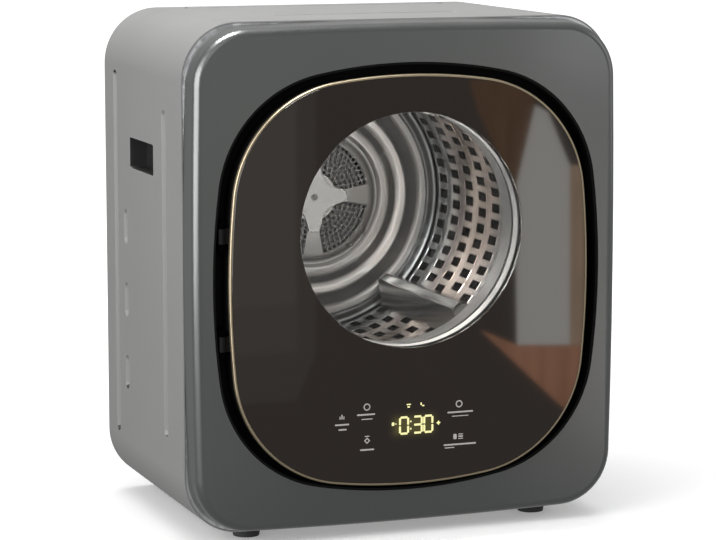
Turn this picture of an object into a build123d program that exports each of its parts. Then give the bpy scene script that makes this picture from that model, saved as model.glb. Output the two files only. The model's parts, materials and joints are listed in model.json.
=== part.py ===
from build123d import *
import math
import os

# Compact tumble dryer with a full glass door. Millimetres: X to the right, Y to the rear, Z up.
# The origin is on the floor, under the middle of the machine's bounding box.

# Cabinet
cabinet_width = 430.0
cabinet_height = 478.0
cabinet_depth = 262.0
cabinet_radius = 54.0
sheet = 1.2
return_flange = 14.0
foot_height = 9.0
foot_top_radius = 14.0
foot_tip_radius = 12.5
foot_margin = 11.0
foot_inset_front = 24.0
foot_inset_rear = 26.0

# Stiffening beads and short marks pressed into the sheet: place behind the seam, rise, length
bead_width = 12.0
bead_depth = 3.0
bead_slope = 32.0
side_beads = [(57.0, 0.0, 310.0), (224.0, 0.0, 362.0)]
short_bead_length = 34.0
short_bead_back = 190.0
short_bead_pitch = 72.5
short_bead_count = 3
short_bead_rise = -43.0
top_beads = [(88.0, 190.0), (238.0, 278.0)]

# Recessed grips in the side walls
grip_length = 80.0
grip_height = 30.0
grip_depth = 16.0
grip_wall = 2.0
grip_undercut = 6.0
grip_lip = 4.0
grip_back = 132.0
grip_below_top = 135.0

# Front bezel
bezel_depth = 26.0
bezel_wall = 3.0
bezel_draft = 6.0
bezel_round = 8.0
bezel_step = 0.8
bezel_side_radius = 7800.0
bezel_top_radius = 5900.0
bezel_corner_radius = 55.0
boss_radius = 4.5
boss_inset = 28.0

# Door well: the black recess that the door closes into
well_side_margin = 21.2
well_end_margin = 36.5
well_side_radius = 700.0
well_top_radius = 470.0
well_corner_radius = 120.0
well_drop = 2.5
well_wall = 2.2
well_floor = 3.0
well_lip = 0.4

# Door
groove_side = 14.3
groove_end = 8.5
door_side_radius = 860.0
door_top_radius = 520.0
door_corner_radius = 117.0
door_drop = 5.0
door_proud = 6.0
glass_thickness = 4.0
trim_width = 2.2
trim_depth = 5.0
trim_drop = 0.4
frame_step = 0.6
frame_wall = 3.0
ledge_width = 11.0
ledge_depth = 4.0
mask_behind_front = 9.5
mask_thickness = 2.0
liner_thickness = 3.0
door_gap = 4.0
window_radius = 111.0
window_ring_wall = 3.5
pane_lap = 2.0
gasket_radius = 118.0
gasket_width = 6.0
gasket_clearance = 0.4
gasket_round = 1.2
touch_board_width = 156.0
touch_board_height = 60.0
touch_above_edge = 56.0
board_thickness = 1.6
display_width = 40.0
display_height = 24.0
display_depth = 5.0
magnet_width = 10.0
magnet_height = 26.0
magnet_depth = 6.0
magnet_inset = 12.0
strike_margin = 2.0
strike_thickness = 1.0
switch_depth = 7.0

# Door hinge
hinge_offset = 5.0
hinge_behind_front = 7.0
hinge_spacing = 100.0
knuckle_radius = 3.2
knuckle_length = 14.0
ear_length = 6.0
ear_gap = 0.4
hinge_arm = 3.0
hinge_arm_back = 1.8
hinge_foot_width = 9.0
hinge_foot = 1.5
pin_radius = 1.5
pin_clearance = 0.1

# Port between door and drum
port_radius = 112.0
collar_wall = 2.5
collar_flange = 13.0
collar_flange_thickness = 2.5
collar_reach = 18.0
felt_length = 10.0
felt_thickness = 6.0
felt_clearance = 0.3

# Drum
drum_below_top = 196.0
drum_radius = 137.0
drum_sheet = 1.0
drum_length = 224.0
drum_cone = 8.0
drum_front_gap = 24.0
lip_length = 10.0
back_flange = 4.0
back_bead_radii = [119.5, 96.0, 75.5]
back_bead_half_base = 6.0
back_bead_half_top = 3.0
back_bead_height = 4.5
hole_size = 6.5
hole_pitch = 25.0
hole_columns = 7
holes_round = 20
hole_rear_margin = 15.0
petal_hole = 5.0
petal_first_radius = 34.0
petal_ring_pitch = 10.0
petal_ring_count = 3
petal_first_count = 3
petal_spread = 64.0
petal_count = 4
hub_arm_count = 4
hub_reach = 36.0
hub_arm_root = 15.5
hub_arm_tip = 5.3
hub_hollow = 18.0
hub_thickness = 3.0
hub_round = 2.0
spider_arm_count = 4
spider_reach = 64.0
spider_arm = 16.0
spider_thickness = 4.0
shaft_radius = 8.5
shaft_end_gap = 3.0
bolt_radius = 2.5
bolt_head_radius = 3.6
bolt_head = 2.4
bolt_length = 26.0
running_gap = 0.05
bearing_radius = 17.0
bearing_width = 10.0
bearing_gap = 4.0
housing_wall = 6.0
housing_shoulder = 4.0
housing_flange_radius = 36.0
housing_flange = 3.0
lifter_count = 3
lifter_base = 44.0
lifter_height = 28.0
lifter_top = 9.0
lifter_round = 4.0
lifter_end_gap = 10.0
lifter_wall = 2.5
lifter_first_angle = -50.0

# Rear panel
rear_bulge = 18.0
bulge_radius = 150.0
bulge_foot_radius = 47.0
bulge_round = 8.0
panel_gap = 0.4
screw_radius = 2.0
screw_hole_gap = 0.1
screw_head_radius = 4.0
screw_head = 2.2
screw_length = 8.0
vent_length = 46.0
vent_width = 3.5
vent_pitch = 8.0
vent_count = 6

# Motor, pulley and belt
motor_x = 96.0
motor_above_floor = 72.0
motor_radius = 38.0
motor_length = 68.0
motor_back = 83.0
motor_round = 5.0
motor_boss_radius = 14.0
motor_boss = 6.0
rotor_radius = 4.0
rotor_front = 28.0
bracket_plate = 2.5
bracket_half_width = 42.0
bracket_crown = 20.0
pulley_radius = 11.0
pulley_flange = 2.2
pulley_width = 9.0
belt_width = 6.0
belt_thickness = 2.6
belt_clearance = 0.3
belt_ahead = 17.0

# Blower
wheel_radius = 42.0
wheel_width = 28.0
wheel_plate = 2.0
wheel_hub_radius = 10.0
blade_count = 16
blade_root = 30.0
blade_thickness = 1.2
wheel_gap = 2.0
scroll_gap = 10.0
scroll_wall = 2.0
scroll_back = 170.0
outlet_height = 34.0
outlet_reach = 100.0
inlet_radius = 26.0
shaft_hole_gap = 1.0

# Air channel, lint filter and outlet
channel_wall = 2.0
channel_gap = 2.5
channel_radius = 64.0
channel_mouth_radius = 60.0
tunnel_radius = 33.0
filter_radius = 31.0
filter_ring = 5.0
filter_rib = 3.0
filter_rib_count = 6
filter_skin = 0.5
filter_cap_radius = 36.0
filter_cap_gap = 0.4
filter_cup_wall = 2.0
filter_grip_radius = 24.0
filter_grip_depth = 11.0
filter_grip_bar = 6.0
exhaust_width = 40.0
grille_slots = 5
grille_slot = 3.6
grille_pitch = 7.0
grille_margin = 5.0

# Heater, electronics and base
heater_width = 70.0
heater_height = 58.0
heater_length = 76.0
heater_side = 24.0
heater_below_top = 40.0
heater_wall = 1.0
heater_frame = 3.0
heater_core = 22.0
heater_fins = 9
heater_fin = 1.2
heater_inset = 24.0
base_thickness = 1.5
base_side_margin = 3.0
base_inset = 15.0
case_width = 84.0
case_depth = 104.0
case_height = 34.0
case_wall = 2.0
case_left = 80.0
case_back = 22.0
case_post = 5.0
post_radius = 3.0
relay_size = 16.0
relay_height = 14.0
capacitor_radius = 6.0
capacitor_height = 18.0
part_pitch = 24.0
gland_radius = 8.0
gland_flange = 2.0
gland_bore = 3.6
gland_inset = 50.0
gland_above_floor = 70.0

# Planes and heights worked out from the sizes above
front_y = -(door_proud + bezel_depth + cabinet_depth + rear_bulge) / 2
face_y = front_y + door_proud
seam_y = face_y + bezel_depth
rear_y = seam_y + cabinet_depth
bulge_y = rear_y + rear_bulge
bulge_inner_y = bulge_y - sheet
floor_z = foot_height
mid_z = floor_z + cabinet_height / 2
top_z = floor_z + cabinet_height
axis_z = top_z - drum_below_top
well_z = mid_z - well_drop
well_half_width = cabinet_width / 2 - well_side_margin
well_half_height = cabinet_height / 2 - well_end_margin
door_z = mid_z - door_drop
door_half_width = well_half_width - groove_side
door_half_height = well_half_height - groove_end
touch_z = door_z - door_half_height + touch_above_edge
grip_z = top_z - grip_below_top
base_width = cabinet_width - 2 * (cabinet_radius + base_side_margin)
foot_spread = base_width / 2 - foot_margin
inner_width = cabinet_width - 2 * sheet
inner_height = cabinet_height - 2 * sheet
inner_radius = cabinet_radius - sheet
base_z = floor_z + sheet
base_top_z = base_z + base_thickness
well_floor_y = seam_y - well_floor
door_back_y = well_floor_y - door_gap
glass_back_y = front_y + glass_thickness
trim_back_y = front_y + trim_drop + trim_depth
mask_y = front_y + mask_behind_front
liner_y = door_back_y - liner_thickness
hinge_x = -(door_half_width + hinge_offset)
hinge_y = front_y + hinge_behind_front
magnet_x = door_half_width - frame_step - frame_wall - magnet_inset
collar_outer = port_radius + collar_wall
collar_flange_y = seam_y + sheet + collar_flange_thickness
collar_rear_y = seam_y + collar_reach
felt_rear_y = collar_flange_y + felt_length
lip_radius = collar_outer + felt_thickness + felt_clearance
drum_y = seam_y + drum_front_gap
drum_back_y = drum_y + drum_length
drum_outer = drum_radius + drum_sheet
spider_y = drum_back_y + drum_sheet
spider_rear_y = spider_y + spider_thickness
shaft_end_y = bulge_inner_y - shaft_end_gap
bearing_y = spider_rear_y + bearing_gap
channel_y = spider_rear_y + channel_gap
motor_z = floor_z + motor_above_floor
motor_y = seam_y + motor_back
motor_rear_y = motor_y + motor_length
belt_y = motor_y - belt_ahead
scroll_y = seam_y + scroll_back
scroll_depth = wheel_width + 2 * wheel_gap + 2 * scroll_wall
scroll_rear_y = scroll_y + scroll_depth
scroll_radius = wheel_radius + scroll_gap + scroll_wall
wheel_rear_y = scroll_rear_y - scroll_wall - wheel_gap
outlet_x = motor_x - outlet_reach
outlet_low_z = motor_z - scroll_radius
exhaust_x = outlet_x - exhaust_width / 2
heater_x = cabinet_width / 2 - heater_side - heater_width / 2
heater_z = top_z - heater_below_top - heater_height / 2
case_x = -cabinet_width / 2 + case_left + case_width / 2
case_y = seam_y + case_back + case_depth / 2
gland_x = gland_inset - cabinet_width / 2
gland_z = floor_z + gland_above_floor
drum_axis = Axis((0, 0, axis_z), (0, 1, 0))
motor_axis = Axis((motor_x, 0, motor_z), (0, 1, 0))
upright = (Align.CENTER, Align.CENTER, Align.MIN)


def facing(y):
    """The plane at this depth that looks out of the front: its own x and y run along X and Z."""
    return Plane.XZ.offset(-y)


def half_plane(x, z):
    """A plane through an axis along Y: its own x is the depth and its own y the radius."""
    return Plane((x, 0, z), x_dir=(0, 1, 0), z_dir=(1, 0, 0))


def side_wall(side, back, z):
    """A plane on the inner face of a side wall that looks into the cabinet, with its y along Z."""
    origin = (side * (cabinet_width / 2 - sheet), seam_y + back, z)
    return Plane(origin, x_dir=(0, -side, 0), z_dir=(-side, 0, 0))


def soft_square(half_width, half_height, side_radius, top_radius, corner_radius):
    """A square whose sides are shallow arcs and whose corners are wide arcs."""
    with BuildSketch() as outline:
        with Locations((half_width - side_radius, 0)):
            Circle(side_radius)
        with Locations((side_radius - half_width, 0)):
            Circle(side_radius, mode=Mode.INTERSECT)
        with Locations((0, half_height - top_radius)):
            Circle(top_radius, mode=Mode.INTERSECT)
        with Locations((0, top_radius - half_height)):
            Circle(top_radius, mode=Mode.INTERSECT)
        fillet(outline.vertices(), corner_radius)
    return outline.sketch


def door_outline(inset):
    """The door's outline, drawn in by this much all round."""
    return soft_square(
        door_half_width - inset,
        door_half_height - inset,
        door_side_radius - inset,
        door_top_radius - inset,
        door_corner_radius - inset,
    )


def well_outline(inset):
    """The outline of the door well, drawn in by this much all round."""
    return soft_square(
        well_half_width - inset,
        well_half_height - inset,
        well_side_radius - inset,
        well_top_radius - inset,
        well_corner_radius - inset,
    )


def bezel_outline(inset):
    """The bezel's outline, drawn in by this much all round."""
    return soft_square(
        cabinet_width / 2 - bezel_step - inset,
        cabinet_height / 2 - bezel_step - inset,
        bezel_side_radius - inset,
        bezel_top_radius - inset,
        bezel_corner_radius - inset,
    )


def round_loop(first, second):
    """The outline of a band pulled round two circles, each given as x, z and radius."""
    with BuildSketch() as loop:
        with BuildLine():
            CenterArc(first[:2], first[2], 0, 360)
            CenterArc(second[:2], second[2], 0, 360)
        make_hull()
    return loop.sketch


def finish(builder, name):
    """Labels a piece and writes its STEP file."""
    builder.part.label = name
    export_step(builder.part, f"parts/{name}.step")


def foot_places():
    """The four feet, as x and y."""
    front = seam_y + foot_inset_front
    rear = rear_y - foot_inset_rear
    return [(x, y) for x in (-foot_spread, foot_spread) for y in (front, rear)]


def boss_places():
    """The four bezel screws, as x and z."""
    reach_x = cabinet_width / 2 - boss_inset
    reach_z = cabinet_height / 2 - boss_inset
    return [(x * reach_x, mid_z + z * reach_z) for x in (-1, 1) for z in (-1, 1)]


def panel_screw_places():
    """The rear panel's screws in the return flange, as x and z."""
    x = (inner_width - return_flange) / 2
    z = (inner_height - return_flange) / 2
    sides = [(sx * x, mid_z + sz * z / 2) for sx in (-1, 1) for sz in (-1, 1)]
    ends = [(sx * x / 2, mid_z + sz * z) for sx in (-1, 1) for sz in (-1, 1)]
    return sides + ends


def pressed_marks(back_offset, extra):
    """The slots of one side wall's pressed marks, on a plane whose x runs to the rear."""
    for back, rise, length in side_beads:
        with Locations((back - back_offset, rise)):
            SlotOverall(length + extra, bead_width + extra, rotation=90)
    for index in range(short_bead_count):
        rise = short_bead_rise + (index - (short_bead_count - 1) / 2) * short_bead_pitch
        with Locations((short_bead_back - back_offset, rise)):
            SlotOverall(short_bead_length + extra, bead_width + extra, rotation=90)


os.makedirs("parts", exist_ok=True)

# Cabinet wrap: one bent sheet with rounded corners, a return flange, pressed marks and cut-outs
left_face = Plane((-cabinet_width / 2, seam_y, mid_z), x_dir=(0, 1, 0), z_dir=(1, 0, 0))
top_face = Plane((0, seam_y, top_z), x_dir=(1, 0, 0), z_dir=(0, 0, -1))

with BuildPart() as wrap_bumps:
    with BuildSketch(left_face.offset(sheet)):
        pressed_marks(0, sheet)
    extrude(amount=bead_depth, taper=bead_slope)
    mirror(about=Plane.YZ)
    with BuildSketch(top_face.offset(sheet)):
        for back, length in top_beads:
            with Locations((0, -back)):
                SlotOverall(length + sheet, bead_width + sheet)
    extrude(amount=bead_depth, taper=bead_slope)

with BuildPart() as wrap_grooves:
    with BuildSketch(left_face):
        pressed_marks(0, 0)
    extrude(amount=bead_depth, taper=bead_slope)
    mirror(about=Plane.YZ)
    with BuildSketch(top_face):
        for back, length in top_beads:
            with Locations((0, -back)):
                SlotOverall(length, bead_width)
    extrude(amount=bead_depth, taper=bead_slope)

with BuildPart() as cabinet_wrap:
    with BuildSketch(facing(rear_y)):
        with Locations((0, mid_z)):
            RectangleRounded(cabinet_width, cabinet_height, cabinet_radius)
            RectangleRounded(inner_width, inner_height, inner_radius, mode=Mode.SUBTRACT)
    extrude(amount=cabinet_depth)
    with BuildSketch(facing(rear_y)):
        with Locations((0, mid_z)):
            RectangleRounded(inner_width, inner_height, inner_radius)
            RectangleRounded(
                inner_width - 2 * return_flange,
                inner_height - 2 * return_flange,
                inner_radius - return_flange,
                mode=Mode.SUBTRACT,
            )
    extrude(amount=sheet)
    add(wrap_bumps.part)
    add(wrap_grooves.part, mode=Mode.SUBTRACT)
    with BuildSketch(side_wall(-1, grip_back, grip_z)):
        RectangleRounded(grip_length, grip_height, grip_wall)
    extrude(amount=cabinet_width, both=True, mode=Mode.SUBTRACT)
    with BuildSketch(Plane.XY.offset(floor_z)):
        with Locations(*foot_places()):
            Circle(screw_radius + screw_hole_gap)
    extrude(amount=sheet, mode=Mode.SUBTRACT)
    with BuildSketch(facing(rear_y)):
        with Locations(*panel_screw_places()):
            Circle(screw_radius + screw_hole_gap)
    extrude(amount=sheet, mode=Mode.SUBTRACT)
finish(cabinet_wrap, "cabinet_wrap")

# Grip cups: moulded pockets that widen above the opening, for the fingers
for side, name in ((-1, "grip_cup_left"), (1, "grip_cup_right")):
    wall = side_wall(side, grip_back, grip_z)
    cup_width = grip_length + 2 * grip_wall
    cup_height = grip_height + grip_undercut + 2 * grip_wall
    with BuildPart() as grip_cup:
        with BuildSketch(wall):
            with Locations((0, grip_undercut / 2)):
                RectangleRounded(cup_width + 2 * grip_lip, cup_height + 2 * grip_lip, grip_lip)
        extrude(amount=grip_wall)
        with BuildSketch(wall):
            with Locations((0, grip_undercut / 2)):
                RectangleRounded(cup_width, cup_height, 2 * grip_wall)
        extrude(amount=grip_depth + grip_wall)
        with BuildSketch(wall):
            RectangleRounded(grip_length, grip_height, grip_wall)
        extrude(amount=grip_depth, mode=Mode.SUBTRACT)
        with BuildSketch(wall.offset(grip_wall)):
            with Locations((0, grip_undercut / 2)):
                RectangleRounded(grip_length, grip_height + grip_undercut, grip_wall)
        extrude(amount=grip_depth - grip_wall, mode=Mode.SUBTRACT)
    finish(grip_cup, name)

# Rubber feet, and the screws that hold them to the cabinet floor
with BuildPart() as rubber_feet:
    with Locations(*[(x, y, 0) for x, y in foot_places()]):
        Cone(foot_tip_radius, foot_top_radius, foot_height, align=upright)
        Cylinder(screw_head_radius, foot_height / 2, align=upright, mode=Mode.SUBTRACT)
        Cylinder(screw_radius + screw_hole_gap, foot_height, align=upright, mode=Mode.SUBTRACT)
finish(rubber_feet, "rubber_feet")

with BuildPart() as foot_screws:
    with BuildSketch(Plane.XY.offset(foot_height / 2 - screw_head)):
        with Locations(*foot_places()):
            Circle(screw_head_radius)
    extrude(amount=screw_head)
    with BuildSketch(Plane.XY.offset(foot_height / 2)):
        with Locations(*foot_places()):
            Circle(screw_radius)
    extrude(amount=screw_length)
finish(foot_screws, "foot_screws")

# Base plate on the cabinet floor
with BuildPart() as base_plate:
    with BuildSketch(Plane.XY.offset(base_z)):
        with Locations((0, (seam_y + rear_y) / 2)):
            Rectangle(base_width, cabinet_depth - 2 * base_inset)
        with Locations(*foot_places()):
            Circle(screw_radius + screw_hole_gap, mode=Mode.SUBTRACT)
    extrude(amount=base_thickness)
finish(base_plate, "base_plate")

# Front bezel: a moulded frame with drafted sides, a rounded front edge and a soft square opening
with BuildPart() as bezel_hollow:
    with BuildSketch(facing(seam_y)):
        with Locations((0, mid_z)):
            add(bezel_outline(bezel_wall))
    extrude(amount=bezel_depth - bezel_wall, taper=bezel_draft)
    fillet(bezel_hollow.faces().sort_by(Axis.Y)[0].edges(), bezel_round - bezel_wall)

with BuildPart() as front_bezel:
    with BuildSketch(facing(seam_y)):
        with Locations((0, mid_z)):
            add(bezel_outline(0))
    extrude(amount=bezel_depth, taper=bezel_draft)
    fillet(front_bezel.faces().sort_by(Axis.Y)[0].edges(), bezel_round)
    add(bezel_hollow.part, mode=Mode.SUBTRACT)
    with BuildSketch(facing(seam_y)):
        with Locations(*boss_places()):
            Circle(boss_radius)
    extrude(amount=bezel_depth - bezel_wall)
    with BuildSketch(facing(seam_y)):
        with Locations(*boss_places()):
            Circle(screw_radius)
    extrude(amount=screw_length, mode=Mode.SUBTRACT)
    with BuildSketch(facing(seam_y)):
        with Locations((0, well_z)):
            add(well_outline(0))
    extrude(amount=bezel_depth, mode=Mode.SUBTRACT)
finish(front_bezel, "front_bezel")

# Front bulkhead: a flanged steel wall behind the bezel, with the port
with BuildPart() as front_bulkhead:
    bulkhead_width = inner_width - 2 * panel_gap
    bulkhead_height = inner_height - 2 * panel_gap
    bulkhead_radius = inner_radius - panel_gap
    with BuildSketch(facing(seam_y + return_flange)):
        with Locations((0, mid_z)):
            RectangleRounded(bulkhead_width, bulkhead_height, bulkhead_radius)
    extrude(amount=return_flange)
    with BuildSketch(facing(seam_y + return_flange)):
        with Locations((0, mid_z)):
            RectangleRounded(
                bulkhead_width - 2 * sheet, bulkhead_height - 2 * sheet, bulkhead_radius - sheet
            )
    extrude(amount=return_flange - sheet, mode=Mode.SUBTRACT)
    with BuildSketch(facing(seam_y + sheet)):
        with Locations((0, axis_z)):
            Circle(collar_outer)
        with Locations(*boss_places()):
            Circle(screw_radius + screw_hole_gap)
    extrude(amount=sheet, mode=Mode.SUBTRACT)
finish(front_bulkhead, "front_bulkhead")

with BuildPart() as bezel_screws:
    with BuildSketch(facing(seam_y + sheet)):
        with Locations(*boss_places()):
            Circle(screw_radius)
    extrude(amount=screw_length)
    with BuildSketch(facing(seam_y + sheet)):
        with Locations(*boss_places()):
            Circle(screw_head_radius)
    extrude(amount=-screw_head)
finish(bezel_screws, "bezel_screws")

# Door well: a black moulded dish in the bezel's opening
with BuildPart() as door_well:
    with BuildSketch(facing(seam_y)):
        with Locations((0, well_z)):
            add(well_outline(well_lip / 2))
    extrude(amount=bezel_depth - well_lip)
    with BuildSketch(facing(well_floor_y)):
        with Locations((0, well_z)):
            add(well_outline(well_lip / 2 + well_wall))
    extrude(amount=bezel_depth, mode=Mode.SUBTRACT)
    with BuildSketch(facing(seam_y)):
        with Locations((0, axis_z)):
            Circle(collar_outer)
    extrude(amount=well_floor, mode=Mode.SUBTRACT)
finish(door_well, "door_well")

# Port collar: the bright ring that leads from the door into the drum
with BuildPart() as port_collar:
    with BuildSketch(half_plane(0, axis_z)):
        with BuildLine():
            Polyline(
                (well_floor_y, port_radius),
                (collar_rear_y, port_radius),
                (collar_rear_y, collar_outer),
                (collar_flange_y, collar_outer),
                (collar_flange_y, collar_outer + collar_flange),
                (seam_y + sheet, collar_outer + collar_flange),
                (seam_y + sheet, collar_outer),
                (well_floor_y, collar_outer),
                close=True,
            )
        make_face()
    revolve(axis=drum_axis)
finish(port_collar, "port_collar")

# Felt ring on the collar, which the drum's front lip runs round
with BuildPart() as drum_felt:
    with BuildSketch(facing(felt_rear_y)):
        with Locations((0, axis_z)):
            Circle(collar_outer + felt_thickness)
            Circle(collar_outer, mode=Mode.SUBTRACT)
    extrude(amount=felt_length)
finish(drum_felt, "drum_felt")

# Door frame: the black rim that carries the glass, with two hinge lugs on its left edge
with BuildPart() as door_frame:
    with BuildSketch(facing(door_back_y)):
        with Locations((0, door_z)):
            add(door_outline(frame_step))
            add(door_outline(frame_step + frame_wall), mode=Mode.SUBTRACT)
    extrude(amount=door_back_y - trim_back_y)
    with BuildSketch(facing(glass_back_y + ledge_depth)):
        with Locations((0, door_z)):
            add(door_outline(trim_width))
            add(door_outline(trim_width + ledge_width), mode=Mode.SUBTRACT)
    extrude(amount=ledge_depth)
    for lug_z in (door_z - hinge_spacing / 2, door_z + hinge_spacing / 2):
        with BuildSketch(Plane.XY.offset(lug_z - knuckle_length / 2)):
            with Locations((hinge_x, hinge_y)):
                Circle(knuckle_radius)
            with Locations((hinge_x, hinge_y + hinge_arm_back - hinge_arm / 2)):
                Rectangle(
                    hinge_offset + 2 * frame_wall, hinge_arm, align=(Align.MIN, Align.CENTER)
                )
            with Locations((hinge_x, hinge_y)):
                Circle(pin_radius + pin_clearance, mode=Mode.SUBTRACT)
        extrude(amount=knuckle_length)
finish(door_frame, "door_frame")

# Trim ring round the glass
with BuildPart() as trim_ring:
    with BuildSketch(facing(trim_back_y)):
        with Locations((0, door_z)):
            add(door_outline(0))
            add(door_outline(trim_width), mode=Mode.SUBTRACT)
    extrude(amount=trim_depth)
    chamfer(trim_ring.faces().sort_by(Axis.Y)[0].outer_wire().edges(), trim_width / 3)
finish(trim_ring, "trim_ring")

# Outer door glass, with a small bevel round its front edge
with BuildPart() as outer_glass:
    with BuildSketch(facing(glass_back_y)):
        with Locations((0, door_z)):
            add(door_outline(trim_width))
    extrude(amount=glass_thickness)
    chamfer(outer_glass.faces().sort_by(Axis.Y)[0].edges(), trim_drop)
finish(outer_glass, "outer_glass")

# Dark mask behind the glass, with the round window
with BuildPart() as window_mask:
    with BuildSketch(facing(mask_y + mask_thickness)):
        with Locations((0, door_z)):
            add(door_outline(frame_step + frame_wall))
        with Locations((0, axis_z)):
            Circle(window_radius, mode=Mode.SUBTRACT)
    extrude(amount=mask_thickness)
finish(window_mask, "window_mask")

# Window ring between the mask and the inner pane
with BuildPart() as window_ring:
    with BuildSketch(facing(liner_y)):
        with Locations((0, axis_z)):
            Circle(window_radius + window_ring_wall)
            Circle(window_radius, mode=Mode.SUBTRACT)
    extrude(amount=liner_y - mask_y - mask_thickness)
finish(window_ring, "window_ring")

# Door liner, which closes the door at the back and holds the pane and the magnet
with BuildPart() as door_liner:
    with BuildSketch(facing(door_back_y)):
        with Locations((0, door_z)):
            add(door_outline(frame_step + frame_wall))
        with Locations((0, axis_z)):
            Circle(window_radius + pane_lap, mode=Mode.SUBTRACT)
        with Locations((magnet_x, door_z)):
            Rectangle(magnet_width, magnet_height, mode=Mode.SUBTRACT)
    extrude(amount=liner_thickness)
finish(door_liner, "door_liner")

with BuildPart() as inner_pane:
    with BuildSketch(facing(door_back_y)):
        with Locations((0, axis_z)):
            Circle(window_radius + pane_lap)
    extrude(amount=liner_thickness)
finish(inner_pane, "inner_pane")

with BuildPart() as door_magnet:
    with BuildSketch(facing(door_back_y)):
        with Locations((magnet_x, door_z)):
            Rectangle(magnet_width, magnet_height)
    extrude(amount=magnet_depth)
finish(door_magnet, "door_magnet")

# Soft gasket on the liner, round the inner pane
with BuildPart() as door_gasket:
    gasket_depth = door_gap - gasket_clearance
    with BuildSketch(half_plane(0, axis_z)) as gasket_section:
        with Locations((door_back_y + gasket_depth / 2, gasket_radius)):
            Rectangle(gasket_depth, gasket_width)
        fillet(gasket_section.vertices().group_by(Axis.Y)[-1], gasket_round)
    revolve(axis=drum_axis)
finish(door_gasket, "door_gasket")

# Touch board and display, held against the back of the glass
with BuildPart() as touch_board:
    with BuildSketch(facing(glass_back_y + board_thickness)):
        with Locations((0, touch_z)):
            Rectangle(touch_board_width, touch_board_height)
            Rectangle(display_width, display_height, mode=Mode.SUBTRACT)
    extrude(amount=board_thickness)
finish(touch_board, "touch_board")

with BuildPart() as display_module:
    with BuildSketch(facing(glass_back_y + display_depth)):
        with Locations((0, touch_z)):
            Rectangle(display_width, display_height)
    extrude(amount=display_depth)
finish(display_module, "display_module")

# Strike plate that the door magnet holds to, and the door switch behind it
with BuildPart() as strike_plate:
    with BuildSketch(facing(well_floor_y)):
        with Locations((magnet_x, door_z)):
            RectangleRounded(
                magnet_width + 2 * strike_margin, magnet_height + 2 * strike_margin, strike_margin
            )
    extrude(amount=strike_thickness)
finish(strike_plate, "strike_plate")

with BuildPart() as door_switch:
    with BuildSketch(facing(seam_y + sheet + switch_depth)):
        with Locations((magnet_x, door_z)):
            Rectangle(magnet_width, magnet_height)
    extrude(amount=switch_depth)
finish(door_switch, "door_switch")

# Hinge brackets on the floor of the well, each with two ears round the door's lug
ear_reach = knuckle_length / 2 + ear_gap + ear_length
for lug_z, name in (
    (door_z - hinge_spacing / 2, "hinge_bracket_lower"),
    (door_z + hinge_spacing / 2, "hinge_bracket_upper"),
):
    with BuildPart() as hinge_bracket:
        with BuildSketch(Plane.XY.offset(lug_z - ear_reach)):
            with Locations((hinge_x - knuckle_radius, well_floor_y)):
                Rectangle(hinge_foot_width, hinge_foot, align=(Align.MIN, Align.MAX))
        extrude(amount=2 * ear_reach)
        for ear_z in (lug_z - ear_reach, lug_z + ear_reach - ear_length):
            with BuildSketch(Plane.XY.offset(ear_z)):
                with Locations((hinge_x, hinge_y)):
                    Circle(knuckle_radius)
                with Locations((hinge_x - knuckle_radius, hinge_y)):
                    Rectangle(
                        hinge_arm, well_floor_y - hinge_y, align=(Align.MIN, Align.MIN)
                    )
                with Locations((hinge_x, hinge_y)):
                    Circle(pin_radius, mode=Mode.SUBTRACT)
            extrude(amount=ear_length)
    finish(hinge_bracket, name)

with BuildPart() as hinge_pins:
    for lug_z in (door_z - hinge_spacing / 2, door_z + hinge_spacing / 2):
        with BuildSketch(Plane.XY.offset(lug_z - ear_reach)):
            with Locations((hinge_x, hinge_y)):
                Circle(pin_radius)
        extrude(amount=2 * ear_reach)
finish(hinge_pins, "hinge_pins")

# Drum front: a steel cone that narrows to the lip on the felt
with BuildPart() as drum_front:
    lip_front_y = drum_y - drum_cone - lip_length
    with BuildSketch(half_plane(0, axis_z)):
        with BuildLine():
            inner_edge = Polyline(
                (lip_front_y, lip_radius),
                (drum_y - drum_cone, lip_radius),
                (drum_y, drum_radius),
            )
            outer_edge = Polyline(
                (lip_front_y, lip_radius + drum_sheet),
                (drum_y - drum_cone - drum_sheet / 2, lip_radius + drum_sheet),
                (drum_y, drum_outer),
            )
            Line(inner_edge @ 0, outer_edge @ 0)
            Line(inner_edge @ 1, outer_edge @ 1)
        make_face()
    revolve(axis=drum_axis)
finish(drum_front, "drum_front")

# Drum wrapper: the perforated shell, plain at the front, with square punched holes
hole_planes = [
    Plane(
        (0, drum_back_y - hole_rear_margin - column * hole_pitch, axis_z),
        x_dir=(0, 1, 0),
        z_dir=(math.sin(turn), 0, math.cos(turn)),
    )
    for column in range(hole_columns)
    for turn in [
        2 * math.pi * (step + column % 2 / 2) / holes_round for step in range(holes_round)
    ]
]
with BuildPart() as drum_wrapper:
    with BuildSketch(facing(drum_back_y + back_flange)):
        with Locations((0, axis_z)):
            Circle(drum_outer)
            Circle(drum_radius, mode=Mode.SUBTRACT)
    extrude(amount=drum_length + back_flange)
    with BuildSketch(*[plane.offset(drum_radius - hole_size) for plane in hole_planes]):
        Rectangle(hole_size, hole_size)
    extrude(amount=2 * hole_size, mode=Mode.SUBTRACT)
finish(drum_wrapper, "drum_wrapper")

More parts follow.
